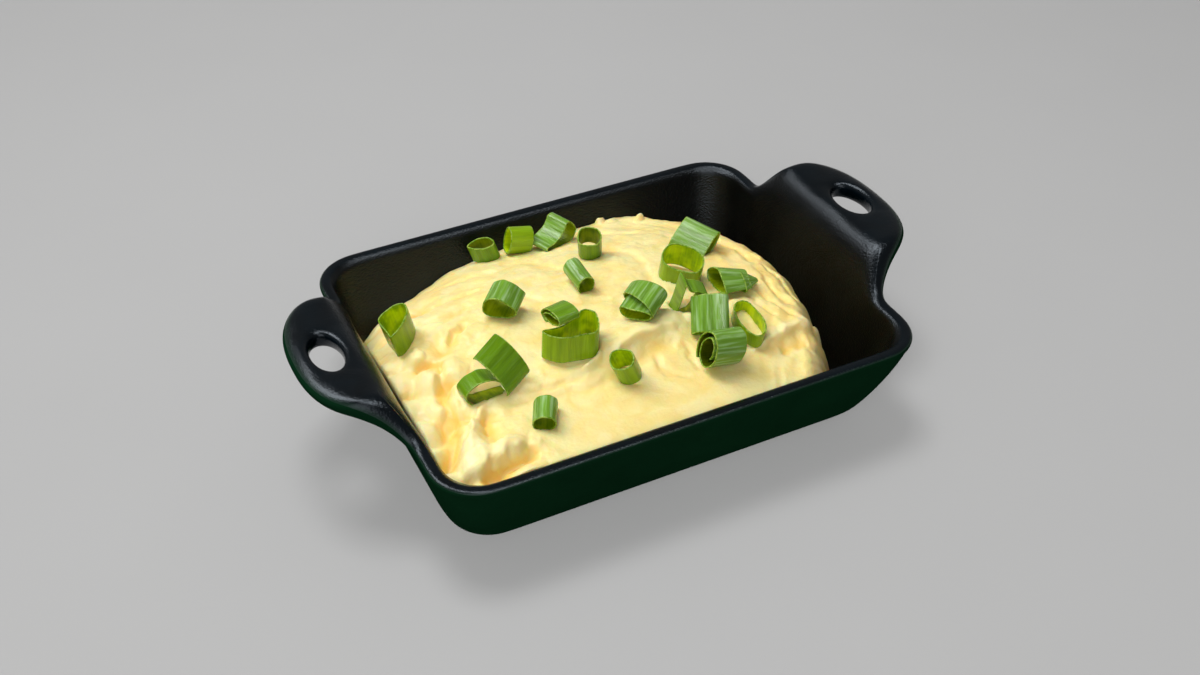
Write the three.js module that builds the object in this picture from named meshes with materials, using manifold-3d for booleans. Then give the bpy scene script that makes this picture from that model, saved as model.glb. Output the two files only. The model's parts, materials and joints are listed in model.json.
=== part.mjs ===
// Mashed potato side: a creamy heap of potato in a small cast iron dish with two
// eared handles, topped with cut rings of spring onion.
//
// Millimetres, +Z up. The origin is the centre of the flat base, X runs along the
// dish from ear to ear, and -Y is the side where the heap fills the dish to its rim.

import * as THREE from 'three';
import { mergeVertices } from 'three/addons/utils/BufferGeometryUtils.js';
import Module from 'manifold-3d';

const wasm = await Module();
wasm.setup();

// ---------------------------------------------------------------- dish sizes

const RIM_LENGTH = 140;          // outside, without the ears
const RIM_WIDTH = 113;
const RIM_RADIUS = 13.5;         // outer corners of the rim
const RIM_HEIGHT = 32;
const RIM_ROUND = 1.6;           // roundness of the rim's two edges
const BASE_LENGTH = 121;         // where the drafted walls would meet the table
const BASE_WIDTH = 84;
const BASE_RADIUS = 11;
const WALL = 3.9;                // measured level, not square to the wall
const FLOOR = 4;
const FILLET_INSET = 5.2;        // bottom edge, outside and inside alike
const FILLET_HEIGHT = 7;
const WALL_BULGE = 1.3;          // outward bow of the walls at half height

const EAR_REACH = 20;            // how far an ear stands out past the rim
const EAR_HALF_WIDTH = 27;
const EAR_POWER = 2.45;          // fullness of the ear's outline
const EAR_SHOULDER = 25.1;       // half width where the hollow neck curve starts
const EAR_NECK = 34;             // half width where the neck meets the rim
const EAR_RISE = 12;             // ear top above the rim
const RISE_START = 34;           // half width where the rim begins to climb
const RISE_END = 22.5;           // half width where it has reached the ear's height
const EAR_THICKNESS = 5.3;
const RIDGE_REACH = 6.4;         // how far the inner wall leans out below the ear

// Lines round the dish from the inner wall over the rim to the outer wall. Along the
// sides a line lies inset from the outer wall and drop below the rim's top. At an ear
// it lies below the ear's top, and moves out by a share of the inner ridge (lean) or of
// the ear's outline (reach), staying set inside that outline.
const RIM_LINES = [
  { inset: WALL - 0.25, drop: 0.75, below: 2.9, lean: 0.55 },
  { inset: WALL - 1.1, drop: 0.12, below: 0.4, lean: 1 },
  { inset: 1.9, drop: 0, below: 0, reach: 0.46 },
  { inset: 1.5, drop: 0, below: 0, reach: 0.8, set: 0.8 },
  { inset: 1.1, drop: 0.1, below: 0.35, reach: 1, set: 1.1 },
  { inset: 0.35, drop: 0.6, below: 1.5, reach: 1, set: 0.3 },
  { inset: 0, drop: RIM_ROUND, below: 2.5, reach: 1 },
];

// Lines of the ear's underside, back to the outer wall, with their height on that wall.
const UNDERSIDE_LINES = [
  { height: 29.6, below: 4.3, reach: 1, set: 0.5 },
  { height: 28.8, below: 5.2, reach: 1, set: 2.2 },
  { height: 28, below: 5.7, reach: 0.26 },
  { height: 26.6, below: 8.8, reach: 0.1 },
  { height: 24, below: 15.5 },
];

// Lines of the inner wall under the ridge, by height, lean and share of the ear's rise.
const INNER_LINES = [
  { height: 22, lean: 0, rise: 0 },
  { height: 27, lean: 0.02, rise: 0.04 },
  { height: RIM_HEIGHT - RIM_ROUND, lean: 0.2, rise: 0.5 },
];

const HOLE_CENTRE = 80.4;        // finger hole of an ear, from the dish's middle
const HOLE_HALF_LENGTH = 8;      // across the ear
const HOLE_HALF_WIDTH = 4;
const HOLE_FLARE = 1.7;          // softened edge of the hole, above its throat
const HOLE_UNDERCUT = 2.6;       // wider flare below the throat
const HOLE_THROAT = 1.7;         // depth of the throat below the ear's top
const HOLE_STEPS = 20;

const EAR_STATIONS = 13;         // ring points in a quarter: ear, corner, long side
const CORNER_STATIONS = 5;
const SIDE_STATIONS = 1;

// ---------------------------------------------------------------- heap sizes

const GAP = 0.3;                 // clearance between neighbouring pieces
const WALL_GAP = 0.42;           // and of the heap to the walls
const HEAP_SHORE = 29.5;         // height at which the heap meets the near wall
const HEAP_SHORE_FAR = 22.5;     // and the far wall
const HEAP_CROWN = 7;            // rise of the dome above that
const HEAP_END = 60;             // foot of the heap towards the empty end of the dish
const HEAP_END_BOW = 4.1;        // how far its two corners stay back, per 25 mm squared
const HEAP_END_MIDDLE = -4;      // where across the dish the foot reaches furthest
const HEAP_END_SOFT = 15;        // length over which that end rounds up
const HEAP_CORNER = 70;          // foot of the heap in the far left corner
const HEAP_CORNER_SOFT = 30;
const HEAP_CELLS = [28, 24];     // facets of its upper face, along and across
const CAVITY_HEIGHTS = [RIM_HEIGHT, 22];
const CAVITY_LINES = [0, 20];    // ring points in a quarter, as for the dish
const CAVITY_CORNERS = 3;
const CAVITY_TAPER = 4;          // makes its open top stand upright

// Crest pulled up by the spoon: a line of points x, y with its height and width.
const CREST = [[-20, -27], [0, -22], [18, -18], [33, -26], [47, -31]];
const CREST_HEIGHT = 2.2;
const CREST_WIDTH = 6;

// ---------------------------------------------------------------- onion sizes

const LEAF = 0.9;                // thickness of a leaf
const ONION_STEPS = 12;          // facets round a piece
const ONION_BED = 0.2;           // room that the heap leaves below a piece

// Pieces cut across the leaf tube. at is the middle. heading and tilt give the way the
// tube points, in degrees round from +X and above level, and turn its roll. wide and
// deep are half sizes of its section, length runs along it. Optional: pinch sharpens
// the two narrow edges (below 1 it squares them), dent pushes one flat side in, slant
// shifts both cuts askew, flare widens the far end, open leaves an arc out, in degrees.
const ONIONS = [
  { at: [-58, 10, 35.4], heading: -165, tilt: 77, turn: 129, wide: 5.8, deep: 3.8, length: 8.6, pinch: 1.3 },
  { at: [-19, 45, 28.4], heading: -180, tilt: 73, turn: 43, wide: 5.1, deep: 2.8, length: 5.9 },
  { at: [-9, 42, 30.7], heading: 177, tilt: 13, turn: 85, wide: 4.3, deep: 3.2, length: 7.3 },
  { at: [1.4, 40.3, 30], heading: -66, tilt: -3, turn: 30, wide: 6, deep: 3.2, length: 7.6, dent: 2 },
  { at: [5.2, 22, 36.7], heading: -118, tilt: 76, turn: 124, wide: 3.9, deep: 3.4, length: 6.1 },
  { at: [-5.7, 6.2, 38.9], heading: -87, tilt: -9, turn: 100, wide: 2.7, deep: 2.3, length: 8.9 },
  { at: [-29.8, 4.5, 39.6], heading: -136, tilt: -15, turn: 25, wide: 5, deep: 4.4, length: 7.2 },
  { at: [-22.2, -17.6, 47], heading: -175, tilt: -4, turn: 21, wide: 5.1, deep: 2.1, length: 4.9 },
  { at: [-20, -18.4, 39.5], heading: 1, tilt: 87, turn: 96, wide: 8.3, deep: 5.2, length: 8.2 },
  { at: [-40.9, -21.5, 39.7], heading: 34, tilt: 5, turn: 45, wide: 6.5, deep: 2.1, length: 10.4 },
  { at: [-49.1, -22, 34.3], heading: -87, tilt: 8, turn: 5, wide: 4.9, deep: 3.6, length: 4.2, open: 95 },
  { at: [-11.7, -33.7, 37.1], heading: -168, tilt: 67, turn: 172, wide: 3.9, deep: 3.1, length: 6.6 },
  { at: [-36.3, -37.9, 34.2], heading: -117, tilt: -9, turn: 25, wide: 3.2, deep: 2.9, length: 7.4 },
  { at: [2.5, -15.4, 41.4], heading: -146, tilt: -13, turn: 19, wide: 6.3, deep: 4, length: 8.7 },
  { at: [33.5, 10.5, 36.4], heading: -50, tilt: -11, turn: 30, wide: 5.4, deep: 1.9, length: 11 },
  { at: [21.2, -3.3, 38.8], heading: -77, tilt: 79, turn: 105, wide: 6.5, deep: 4.9, length: 5.8 },
  { at: [14.4, -17.2, 39.8], heading: -133, tilt: 84, turn: 62,
    wide: 6.6, deep: 2.9, length: 2.8, pinch: 1.4 },
  { at: [17.2, -27.2, 40], heading: -116, tilt: -40, turn: 20, wide: 5.2, deep: 1.6, length: 10.4 },
  { at: [34, -12.3, 36.5], heading: 172, tilt: 9, turn: 7, wide: 6, deep: 2.7, length: 9.6, pinch: 1.4 },
  { at: [27.1, -31.1, 36.2], heading: -61, tilt: 82, turn: 59,
    wide: 7.3, deep: 3.3, length: 3.3, pinch: 1.3 },
  { at: [13.9, -39.5, 38], heading: -179, tilt: 11, turn: 74, wide: 5.9, deep: 4.6, length: 8.8 },
];

const clamp01 = (value) => Math.min(1, Math.max(0, value));
const mix = (from, to, amount) => from + (to - from) * amount;

function smoothstep(start, end, value) {
  const u = clamp01((value - start) / (end - start));
  return u * u * (3 - 2 * u);
}

// ---------------------------------------------------------------- dish outline

// Reach of an ear's outline past the rim at a distance from its middle line.
function earReach(y) {
  const side = Math.abs(y);
  const full = (s) => {
    const part = Math.pow(s / EAR_HALF_WIDTH, EAR_POWER);
    return EAR_REACH * Math.pow(Math.max(0, 1 - part), 1 / EAR_POWER);
  };
  if (side <= EAR_SHOULDER) return full(side);
  if (side >= EAR_NECK) return 0;
  const start = full(EAR_SHOULDER);
  const slope = (full(EAR_SHOULDER) - full(EAR_SHOULDER - 0.01)) / 0.01;
  const span = EAR_NECK - EAR_SHOULDER;
  const u = (side - EAR_SHOULDER) / span;
  const keep = 1 - 3 * u * u + 2 * u * u * u;
  const lean = u - 2 * u * u + u * u * u;
  return start * keep + slope * span * lean;
}

// How far the rim has climbed towards the ear's height, 0 to 1.
function earClimb(y) {
  return 1 - smoothstep(RISE_END, RISE_START, Math.abs(y));
}

// Distances from the middle line at which a quarter of the dish has ring points,
// evenly spaced along the ear's outline.
function earStations() {
  const straight = RIM_WIDTH / 2 - RIM_RADIUS;
  const fine = 600;
  const travelled = [0];
  for (let i = 1; i <= fine; i += 1) {
    const y0 = straight * (i - 1) / fine;
    const y1 = straight * i / fine;
    travelled.push(travelled[i - 1] + Math.hypot(y1 - y0, earReach(y1) - earReach(y0)));
  }
  const stations = [];
  for (let k = 0; k < EAR_STATIONS; k += 1) {
    const wanted = travelled[fine] * k / EAR_STATIONS;
    let i = 1;
    while (travelled[i] < wanted) i += 1;
    stations.push(straight * i / fine);
  }
  stations[0] = 0;
  return stations;
}

const EAR_LINES = earStations();

// One closed ring round the dish. halfLength, halfWidth and radius give its rounded
// rectangle, z its height; out and up move its points at the ears.
function ring(shape) {
  const { halfLength, halfWidth, radius, z } = shape;
  const { out = () => 0, up = () => 0, lines = EAR_LINES, corners = CORNER_STATIONS } = shape;
  const straight = halfWidth - radius;
  const scale = straight / (RIM_WIDTH / 2 - RIM_RADIUS);
  const quarter = [];
  for (const line of lines) {
    quarter.push([halfLength + out(line), line * scale, z + up(line)]);
  }
  for (let k = 0; k < corners; k += 1) {
    const angle = Math.PI / 2 * k / corners;
    const x = halfLength - radius + radius * Math.cos(angle);
    quarter.push([x, straight + radius * Math.sin(angle), z]);
  }
  for (let k = 0; k <= SIDE_STATIONS; k += 1) {
    quarter.push([(halfLength - radius) * (1 - k / SIDE_STATIONS), halfWidth, z]);
  }
  const half = [...quarter];
  for (let k = quarter.length - 2; k >= 0; k -= 1) {
    half.push([-quarter[k][0], quarter[k][1], quarter[k][2]]);
  }
  const whole = [...half];
  for (let k = half.length - 2; k >= 1; k -= 1) {
    whole.push([half[k][0], -half[k][1], half[k][2]]);
  }
  return whole;
}

// Rounded rectangle of the outer wall at a height, moved in by inset and with the
// extra pull of the bottom fillet.
function wallRing(z, inset, fillet, changes = {}) {
  const share = z / RIM_HEIGHT;
  const bow = WALL_BULGE * 4 * share * (1 - share);
  return ring({
    halfLength: mix(BASE_LENGTH, RIM_LENGTH, share) / 2 + bow - inset - fillet,
    halfWidth: mix(BASE_WIDTH, RIM_WIDTH, share) / 2 + bow - inset - fillet,
    radius: mix(BASE_RADIUS, RIM_RADIUS, share) - inset * 0.6 - fillet * 0.8,
    z,
    ...changes,
  });
}

// Pull of the bottom fillet at a share of its height, 1 at the bottom.
function filletPull(share) {
  return FILLET_INSET * (1 - Math.sqrt(Math.max(0, 1 - share * share)));
}

// ---------------------------------------------------------------- solids

// A closed mesh from rings of equal length, closed at both ends by a middle point.
function loft(rings) {
  const count = rings[0].length;
  const points = rings.flat(2);
  const index = [];
  for (let r = 0; r + 1 < rings.length; r += 1) {
    for (let k = 0; k < count; k += 1) {
      const next = (k + 1) % count;
      const a = r * count + k;
      const b = r * count + next;
      const c = (r + 1) * count + next;
      const d = (r + 1) * count + k;
      index.push(a, c, b, a, d, c);
    }
  }
  const addCap = (r, flip) => {
    const middle = points.length / 3;
    const total = [0, 0, 0];
    for (const point of rings[r]) point.forEach((value, axis) => { total[axis] += value / count; });
    points.push(...total);
    for (let k = 0; k < count; k += 1) {
      const a = r * count + k;
      const b = r * count + (k + 1) % count;
      if (flip) index.push(middle, a, b);
      else index.push(middle, b, a);
    }
  };
  addCap(0, true);
  addCap(rings.length - 1, false);
  const geometry = new THREE.BufferGeometry();
  geometry.setAttribute('position', new THREE.Float32BufferAttribute(points, 3));
  geometry.setIndex(index);
  return geometry;
}

function solidOf(geometry) {
  const bare = geometry.clone();
  bare.deleteAttribute('normal');
  bare.deleteAttribute('uv');
  const merged = mergeVertices(bare, 1e-4);
  const mesh = new wasm.Mesh({
    numProp: 3,
    vertProperties: new Float32Array(merged.attributes.position.array),
    triVerts: new Uint32Array(merged.index.array),
  });
  mesh.merge();
  return new wasm.Manifold(mesh);
}

function geometryOf(solid) {
  const { vertProperties, triVerts, numProp } = solid.getMesh();
  const points = [];
  for (let i = 0; i < vertProperties.length; i += numProp) {
    points.push(vertProperties[i], vertProperties[i + 1], vertProperties[i + 2]);
  }
  const geometry = new THREE.BufferGeometry();
  geometry.setAttribute('position', new THREE.Float32BufferAttribute(points, 3));
  geometry.setIndex(Array.from(triVerts));
  geometry.computeVertexNormals();
  return geometry;
}

// ---------------------------------------------------------------- dish

function dishGeometry() {
  const rings = [];
  for (const share of [1, 0.8, 0.55, 0.25, 0]) {
    rings.push(wallRing(FLOOR + FILLET_HEIGHT * (1 - share), WALL, filletPull(share)));
  }
  for (const { height, lean, rise } of INNER_LINES) {
    rings.push(wallRing(height, WALL, 0, {
      out: (y) => RIDGE_REACH * lean * earClimb(y),
      up: (y) => EAR_RISE * rise * earClimb(y),
    }));
  }

  // moves of a line at an ear, as functions of the distance from its middle line
  const out = ({ lean = 0, reach = 0, set = 0 }) => (y) => (
    RIDGE_REACH * lean * earClimb(y) + (earReach(y) - set * earClimb(y)) * reach
  );
  const up = (height, below) => (y) => (RIM_HEIGHT + EAR_RISE - below - height) * earClimb(y);

  for (const line of RIM_LINES) {
    const z = RIM_HEIGHT - line.drop;
    rings.push(ring({
      halfLength: RIM_LENGTH / 2 - line.inset,
      halfWidth: RIM_WIDTH / 2 - line.inset,
      radius: RIM_RADIUS - line.inset,
      z,
      out: out(line),
      up: up(z, line.below),
    }));
  }
  for (const line of UNDERSIDE_LINES) {
    rings.push(wallRing(line.height, 0, 0, { out: out(line), up: up(line.height, line.below) }));
  }
  for (const share of [0, 0.4, 0.75, 1]) {
    rings.push(wallRing(FILLET_HEIGHT * (1 - share), 0, filletPull(share)));
  }

  let dish = solidOf(loft(rings));
  for (const side of [-1, 1]) dish = dish.subtract(solidOf(holeCutter(side)));
  return geometryOf(dish);
}

// Hourglass through an ear: an oval throat that widens to both faces.
function holeCutter(side) {
  const top = RIM_HEIGHT + EAR_RISE;
  const lower = EAR_THICKNESS - HOLE_THROAT;
  const rings = [];
  for (const share of [-1.3, -1, -0.85, -0.5, 0, 0.5, 0.85, 1, 1.3]) {
    const depth = HOLE_THROAT + share * (share < 0 ? HOLE_THROAT : lower);
    const spread = Math.min(1, Math.abs(share));
    const reach = share < 0 ? HOLE_FLARE : HOLE_UNDERCUT;
    const flare = reach * (1 - Math.sqrt(1 - spread * spread));
    const points = [];
    for (let k = 0; k < HOLE_STEPS; k += 1) {
      const angle = 2 * Math.PI * k / HOLE_STEPS;
      const x = side * HOLE_CENTRE + (HOLE_HALF_WIDTH + flare) * Math.cos(angle);
      points.push([x, (HOLE_HALF_LENGTH + flare) * Math.sin(angle), top - depth]);
    }
    rings.push(points);
  }
  return loft(rings);
}

// ---------------------------------------------------------------- heap

// Room inside the dish, a little clear of its walls and open far above the rim.
function cavityGeometry() {
  const inset = WALL + WALL_GAP;
  const coarse = { lines: CAVITY_LINES, corners: CAVITY_CORNERS };
  const rings = [wallRing(RIM_HEIGHT * 2, inset + CAVITY_TAPER, 0, coarse)];
  for (const z of CAVITY_HEIGHTS) rings.push(wallRing(z, inset, 0, coarse));
  for (const share of [0, 0.55, 0.9, 1]) {
    const z = FLOOR + GAP + FILLET_HEIGHT * (1 - share);
    rings.push(wallRing(z, inset, filletPull(share) + GAP, coarse));
  }
  return loft(rings);
}

// Quarter-round shoulder: 0 at the foot, 1 once past the soft length.
function shoulder(distance, soft) {
  const u = 1 - clamp01(distance / soft);
  return Math.sqrt(1 - u * u);
}

function distanceToLine(x, y, line) {
  let best = { distance: Infinity, along: 0 };
  for (let i = 0; i + 1 < line.length; i += 1) {
    const [ax, ay] = line[i];
    const [dx, dy] = [line[i + 1][0] - ax, line[i + 1][1] - ay];
    const t = clamp01(((x - ax) * dx + (y - ay) * dy) / (dx * dx + dy * dy));
    const distance = Math.hypot(x - ax - t * dx, y - ay - t * dy);
    if (distance < best.distance) best = { distance, along: (i + t) / (line.length - 1) };
  }
  return best;
}

function heapHeight(x, y) {
  const dome = Math.max(0, 1 - ((x + 2) / 68) ** 2) * Math.max(0, 1 - ((y - 1) / 54) ** 2);
  const shore = mix(HEAP_SHORE, HEAP_SHORE_FAR, smoothstep(0, 55, y));
  let plateau = shore + HEAP_CROWN * dome;
  const crest = distanceToLine(x, y, CREST);
  const fade = smoothstep(0, 0.25, crest.along);
  plateau += CREST_HEIGHT * fade * Math.exp(-((crest.distance / CREST_WIDTH) ** 2));
  const lag = HEAP_END_BOW * ((y - HEAP_END_MIDDLE) / 25) ** 2;
  const end = shoulder(HEAP_END - lag - x, HEAP_END_SOFT);
  const corner = shoulder(HEAP_CORNER - (0.62 * -x + 0.78 * y), HEAP_CORNER_SOFT);
  return FLOOR + (plateau - FLOOR) * end * corner;
}

// The heap, with a bed cut under each piece that lies on it.
function heapGeometry(pieces) {
  const height = 2 * RIM_HEIGHT;
  const block = new THREE.BoxGeometry(RIM_LENGTH, RIM_WIDTH, height, HEAP_CELLS[0], HEAP_CELLS[1], 1);
  const places = block.attributes.position;
  for (let i = 0; i < places.count; i += 1) {
    if (places.getZ(i) > 0) places.setZ(i, heapHeight(places.getX(i), places.getY(i)));
  }
  let heap = solidOf(block).intersect(solidOf(cavityGeometry()));
  for (const piece of pieces) {
    const bed = plugGeometry(piece.userData.shape).applyMatrix4(piece.matrix);
    heap = heap.subtract(solidOf(bed));
  }
  return geometryOf(heap);
}

// ---------------------------------------------------------------- onion

// One outline round the tube at a place along it from -1 to 1, moved in by inset.
function tubeOutline(shape, along, inset, angles) {
  const { wide, deep, length, pinch = 1, dent = 0, slant = 0, flare = 0 } = shape;
  const swell = 1 - flare * along;
  return angles.map((angle) => {
    const [across, rise] = [Math.cos(angle), Math.sin(angle)];
    const x = (wide - inset) * swell * across;
    const y = (deep - inset) * swell * Math.sign(rise) * Math.abs(rise) ** pinch;
    const pushed = rise > 0 ? dent * rise * rise : 0;
    return [x, y - pushed, along * length / 2 + slant * across];
  });
}

function tubeAngles(shape) {
  const missing = THREE.MathUtils.degToRad(shape.open ?? 0);
  const count = missing > 0 ? ONION_STEPS + 1 : ONION_STEPS;
  const angles = [];
  for (let k = 0; k < count; k += 1) {
    angles.push(missing / 2 + (2 * Math.PI - missing) * k / ONION_STEPS);
  }
  return angles;
}

// A closed ring or, with an arc left out, a curved strip of leaf.
function leafGeometry(shape) {
  const angles = tubeAngles(shape);
  const count = angles.length;
  const loops = [
    tubeOutline(shape, -1, 0, angles),
    tubeOutline(shape, 1, 0, angles),
    tubeOutline(shape, 1, LEAF, angles),
    tubeOutline(shape, -1, LEAF, angles),
  ];
  const index = [];
  for (let side = 0; side < 4; side += 1) {
    const far = (side + 1) % 4;
    for (let k = 0; k < ONION_STEPS; k += 1) {
      const next = (k + 1) % count;
      const [a, b] = [side * count + k, side * count + next];
      const [c, d] = [far * count + next, far * count + k];
      index.push(a, b, c, a, c, d);
    }
  }
  if (shape.open) {
    index.push(0, count, 2 * count, 0, 2 * count, 3 * count);
    index.push(4 * count - 1, 3 * count - 1, 2 * count - 1, 4 * count - 1, 2 * count - 1, count - 1);
  }
  const geometry = new THREE.BufferGeometry();
  geometry.setAttribute('position', new THREE.Float32BufferAttribute(loops.flat(2), 3));
  geometry.setIndex(index);
  geometry.computeVertexNormals();
  return geometry;
}

// The full tube with its room, for cutting its bed.
function plugGeometry(shape) {
  const room = GAP + ONION_BED;
  const roomy = { ...shape, length: shape.length + 2 * room, dent: 0, open: 0 };
  const angles = tubeAngles(roomy);
  return loft([tubeOutline(roomy, 1, -room, angles), tubeOutline(roomy, -1, -room, angles)]);
}

// ---------------------------------------------------------------- assembly

const iron = new THREE.MeshStandardMaterial({ color: 0x14191c, roughness: 0.45, metalness: 0.6 });

const potato = new THREE.MeshStandardMaterial({ color: 0xf5dc8c, roughness: 0.6, metalness: 0 });

const leaf = new THREE.MeshStandardMaterial({ color: 0x5c8a2c, roughness: 0.4, metalness: 0 });

const part = new THREE.Group();

function addPiece(name, geometry, material) {
  const mesh = new THREE.Mesh(geometry, material);
  mesh.name = name;
  part.add(mesh);
  return mesh;
}

addPiece('dish', dishGeometry(), iron);

const onions = ONIONS.map((shape, i) => {
  const number = String(i + 1).padStart(2, '0');
  const mesh = addPiece(`onion_${number}`, leafGeometry(shape), leaf);
  const { degToRad } = THREE.MathUtils;
  mesh.position.set(...shape.at);
  mesh.rotateZ(degToRad(shape.heading));
  mesh.rotateY(degToRad(90 - shape.tilt));
  mesh.rotateZ(degToRad(shape.turn + 90));
  mesh.updateMatrix();
  mesh.userData.shape = shape;
  return mesh;
});

addPiece('mash', heapGeometry(onions), potato);

export default part;
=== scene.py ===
import json
import math

import bmesh
import bpy
import numpy as np
from mathutils import Euler, Matrix, Vector
from mathutils.bvhtree import BVHTree

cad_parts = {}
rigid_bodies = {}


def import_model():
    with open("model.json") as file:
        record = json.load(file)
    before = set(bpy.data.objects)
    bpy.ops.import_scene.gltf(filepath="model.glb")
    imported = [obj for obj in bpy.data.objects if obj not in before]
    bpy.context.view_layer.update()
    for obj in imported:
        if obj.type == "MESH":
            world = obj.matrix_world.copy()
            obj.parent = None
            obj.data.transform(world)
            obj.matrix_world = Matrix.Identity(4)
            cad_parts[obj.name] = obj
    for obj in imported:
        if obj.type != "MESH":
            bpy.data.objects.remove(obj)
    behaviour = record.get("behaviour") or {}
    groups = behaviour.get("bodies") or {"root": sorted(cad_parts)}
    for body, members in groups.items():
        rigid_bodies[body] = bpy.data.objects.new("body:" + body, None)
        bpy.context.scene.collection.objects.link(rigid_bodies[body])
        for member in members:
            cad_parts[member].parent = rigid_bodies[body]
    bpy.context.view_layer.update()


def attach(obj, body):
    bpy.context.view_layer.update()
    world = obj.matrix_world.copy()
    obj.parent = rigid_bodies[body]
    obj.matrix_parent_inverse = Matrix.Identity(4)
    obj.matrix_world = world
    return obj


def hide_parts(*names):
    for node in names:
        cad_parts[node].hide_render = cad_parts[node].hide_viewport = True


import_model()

bl_info = {
    "name": "Mashed potato side",
    "version": (1, 0, 0),
    "blender": (4, 5, 0),
    "location": "3D View > Sidebar > Potato side",
    "description": "A small cast iron dish of mashed potato with cut spring onion",
    "category": "Object",
}

BODY = "root"
MM = 0.001                       # shapes are worked out in millimetres
LONGEST = 0.3                    # highest length a setting takes, in metres


# ---------------------------------------------------------------- settings

def length_property(name, description, default):
    """A length in metres, shown in the scene's units. default is in millimetres."""
    return bpy.props.FloatProperty(
        name=name, description=description, default=default * MM, min=0.0, max=LONGEST,
        unit="LENGTH", subtype="DISTANCE", precision=5)


def colour_property(name, description, default):
    return bpy.props.FloatVectorProperty(
        name=name, description=description, default=default, size=3, min=0.0, max=1.0, subtype="COLOR")


def share_property(name, description, default, highest=1.0):
    return bpy.props.FloatProperty(
        name=name, description=description, default=default, min=0.0, max=highest, subtype="FACTOR")


def power_property(name, description, default):
    return bpy.props.FloatProperty(
        name=name, description=description, default=default, min=0.0, unit="POWER")


class DishSettings(bpy.types.PropertyGroup):
    """Sizes and colours of the cast iron dish."""

    rim_length: length_property("Rim length", "Outside length of the rim without the ears", 140)
    rim_width: length_property("Rim width", "Outside width of the rim", 113)
    rim_radius: length_property("Rim corners", "Radius of the rim's outer corners", 13.5)
    base_length: length_property("Base length", "Length of the base, before its edge is rounded", 121)
    base_width: length_property("Base width", "Width of the base, before its edge is rounded", 84)
    base_radius: length_property("Base corners", "Radius of the base's corners", 11)
    wall: length_property("Wall", "Thickness of the walls, measured level", 3.9)
    ear_reach: length_property("Ear reach", "How far an ear stands out past the rim", 20)
    ear_rise: length_property("Ear rise", "Height of the ears above the rim", 12)
    hole_length: length_property("Finger hole length", "Size of the hole across the ear", 16)
    hole_width: length_property("Finger hole width", "Size of the hole along the dish", 8)
    coat: colour_property("Outside coat", "Dark green enamel outside", (0.0030, 0.0200, 0.0078))
    iron: colour_property("Seasoned iron", "Blue black iron of the rim and ears", (0.0006, 0.0022, 0.0036))
    inside: colour_property("Inside", "Brown black iron inside", (0.0022, 0.0022, 0.0016))


class HeapSettings(bpy.types.PropertyGroup):
    """Sizes and colours of the mashed potato."""

    shore_near: length_property("Near height", "Height at which the heap meets the near wall", 29.5)
    shore_far: length_property("Far height", "Height at which the heap meets the far wall", 22.5)
    crown: length_property("Crown", "Rise of the dome above its edges", 7)
    foot: length_property("Foot", "Distance from the middle to the foot of the heap", 58.8)
    relief: share_property("Spoon marks", "Depth of the spoon marks, 1 as served", 1.0, 2.0)
    graininess: share_property("Grain", "Depth of the fine potato grain, 1 as served", 1.0, 2.0)
    cream: colour_property("Cream", "Smooth lit potato", (0.96, 0.795, 0.37))
    butter: colour_property("Butter", "Yellower patches", (0.90, 0.66, 0.18))
    # Painted shade: this amber is put into the hollows of the relief and over the right end in place of
    # their shade
    painted_hollow_shade: colour_property("Amber", "Melted butter in the hollows", (0.90, 0.61, 0.14))
    # Painted highlight: this pale colour is laid on the peaks of the relief in place of their highlight
    peak_highlight: colour_property("White", "Drier, paler peaks", (0.97, 0.86, 0.50))


class OnionSettings(bpy.types.PropertyGroup):
    """Sizes and colours of the cut spring onion."""

    leaf: length_property("Leaf", "Thickness of a leaf", 0.45)
    ribs: length_property("Ribs", "Height of the fine ribs along a leaf", 0.04)
    young: colour_property("Young leaf", "Skin of the yellow green pieces", (0.235, 0.400, 0.002))
    green: colour_property("Green leaf", "Skin of the green pieces", (0.130, 0.270, 0.003))
    waxy: colour_property("Waxy leaf", "Skin of the pieces with a bluish bloom", (0.150, 0.310, 0.024))
    bloom: colour_property("Bloom", "Pale waxy bloom on the skin", (0.37, 0.56, 0.24))
    pith: colour_property("Inner skin", "Yellow green inside of a leaf", (0.27, 0.34, 0.0012))
    deep: colour_property("Inner shade", "Darker bands of the inside", (0.12, 0.20, 0.0012))
    cut: colour_property("Cut edge", "Pale juicy cut edge", (0.34, 0.46, 0.07))


class StageSettings(bpy.types.PropertyGroup):
    """Floor and light of the studio."""

    floor: colour_property("Floor", "Colour of the floor", (0.46, 0.46, 0.46))
    sky: share_property("Sky", "Strength of the light from all round", 0.2, 5.0)
    key: power_property("Key light", "Power of the soft light above", 3.4)
    veil: power_property("Veil light", "Power of the light above that softens the floor's shadow", 6.3)
    food: power_property("Food light", "Power of the light above that leaves the floor out", 6.7)
    glint: power_property("Glint light", "Power of the light that shows in glossy surfaces alone", 4.6)
    fill: power_property("Fill light", "Power of the soft light in front", 5.4)


def mm(value):
    return value / MM


# ---------------------------------------------------------------- meshes

def sheet(columns, rows, *shades):
    """A new grid of faces with its vertices in a table by row and column, and layers for shades."""
    mesh = bmesh.new()
    for name in shades:
        mesh.verts.layers.float.new(name)
    return mesh, grid_table(mesh, columns, rows)


def grid_table(mesh, columns, rows):
    """Adds a grid of faces to a mesh, and gives its vertices in a table."""
    made = bmesh.ops.create_grid(mesh, x_segments=columns, y_segments=rows, size=0.5)["verts"]
    width = columns + 1
    return [made[row * width:(row + 1) * width] for row in range(rows + 1)]


def place(table, points):
    """Moves a table of vertices to points, an array by row and column, in millimetres."""
    for row, places in zip(table, points * MM):
        for vertex, spot in zip(row, places):
            vertex.co = spot


def shade(table, layer, shares):
    """Gives a table of vertices their shares of a finish."""
    for row, values in zip(table, shares):
        for vertex, value in zip(row, values):
            vertex[layer] = value


def close_round(mesh, table):
    """Welds the last column of a table onto the first."""
    bmesh.ops.weld_verts(mesh, targetmap={row[-1]: row[0] for row in table})


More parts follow.
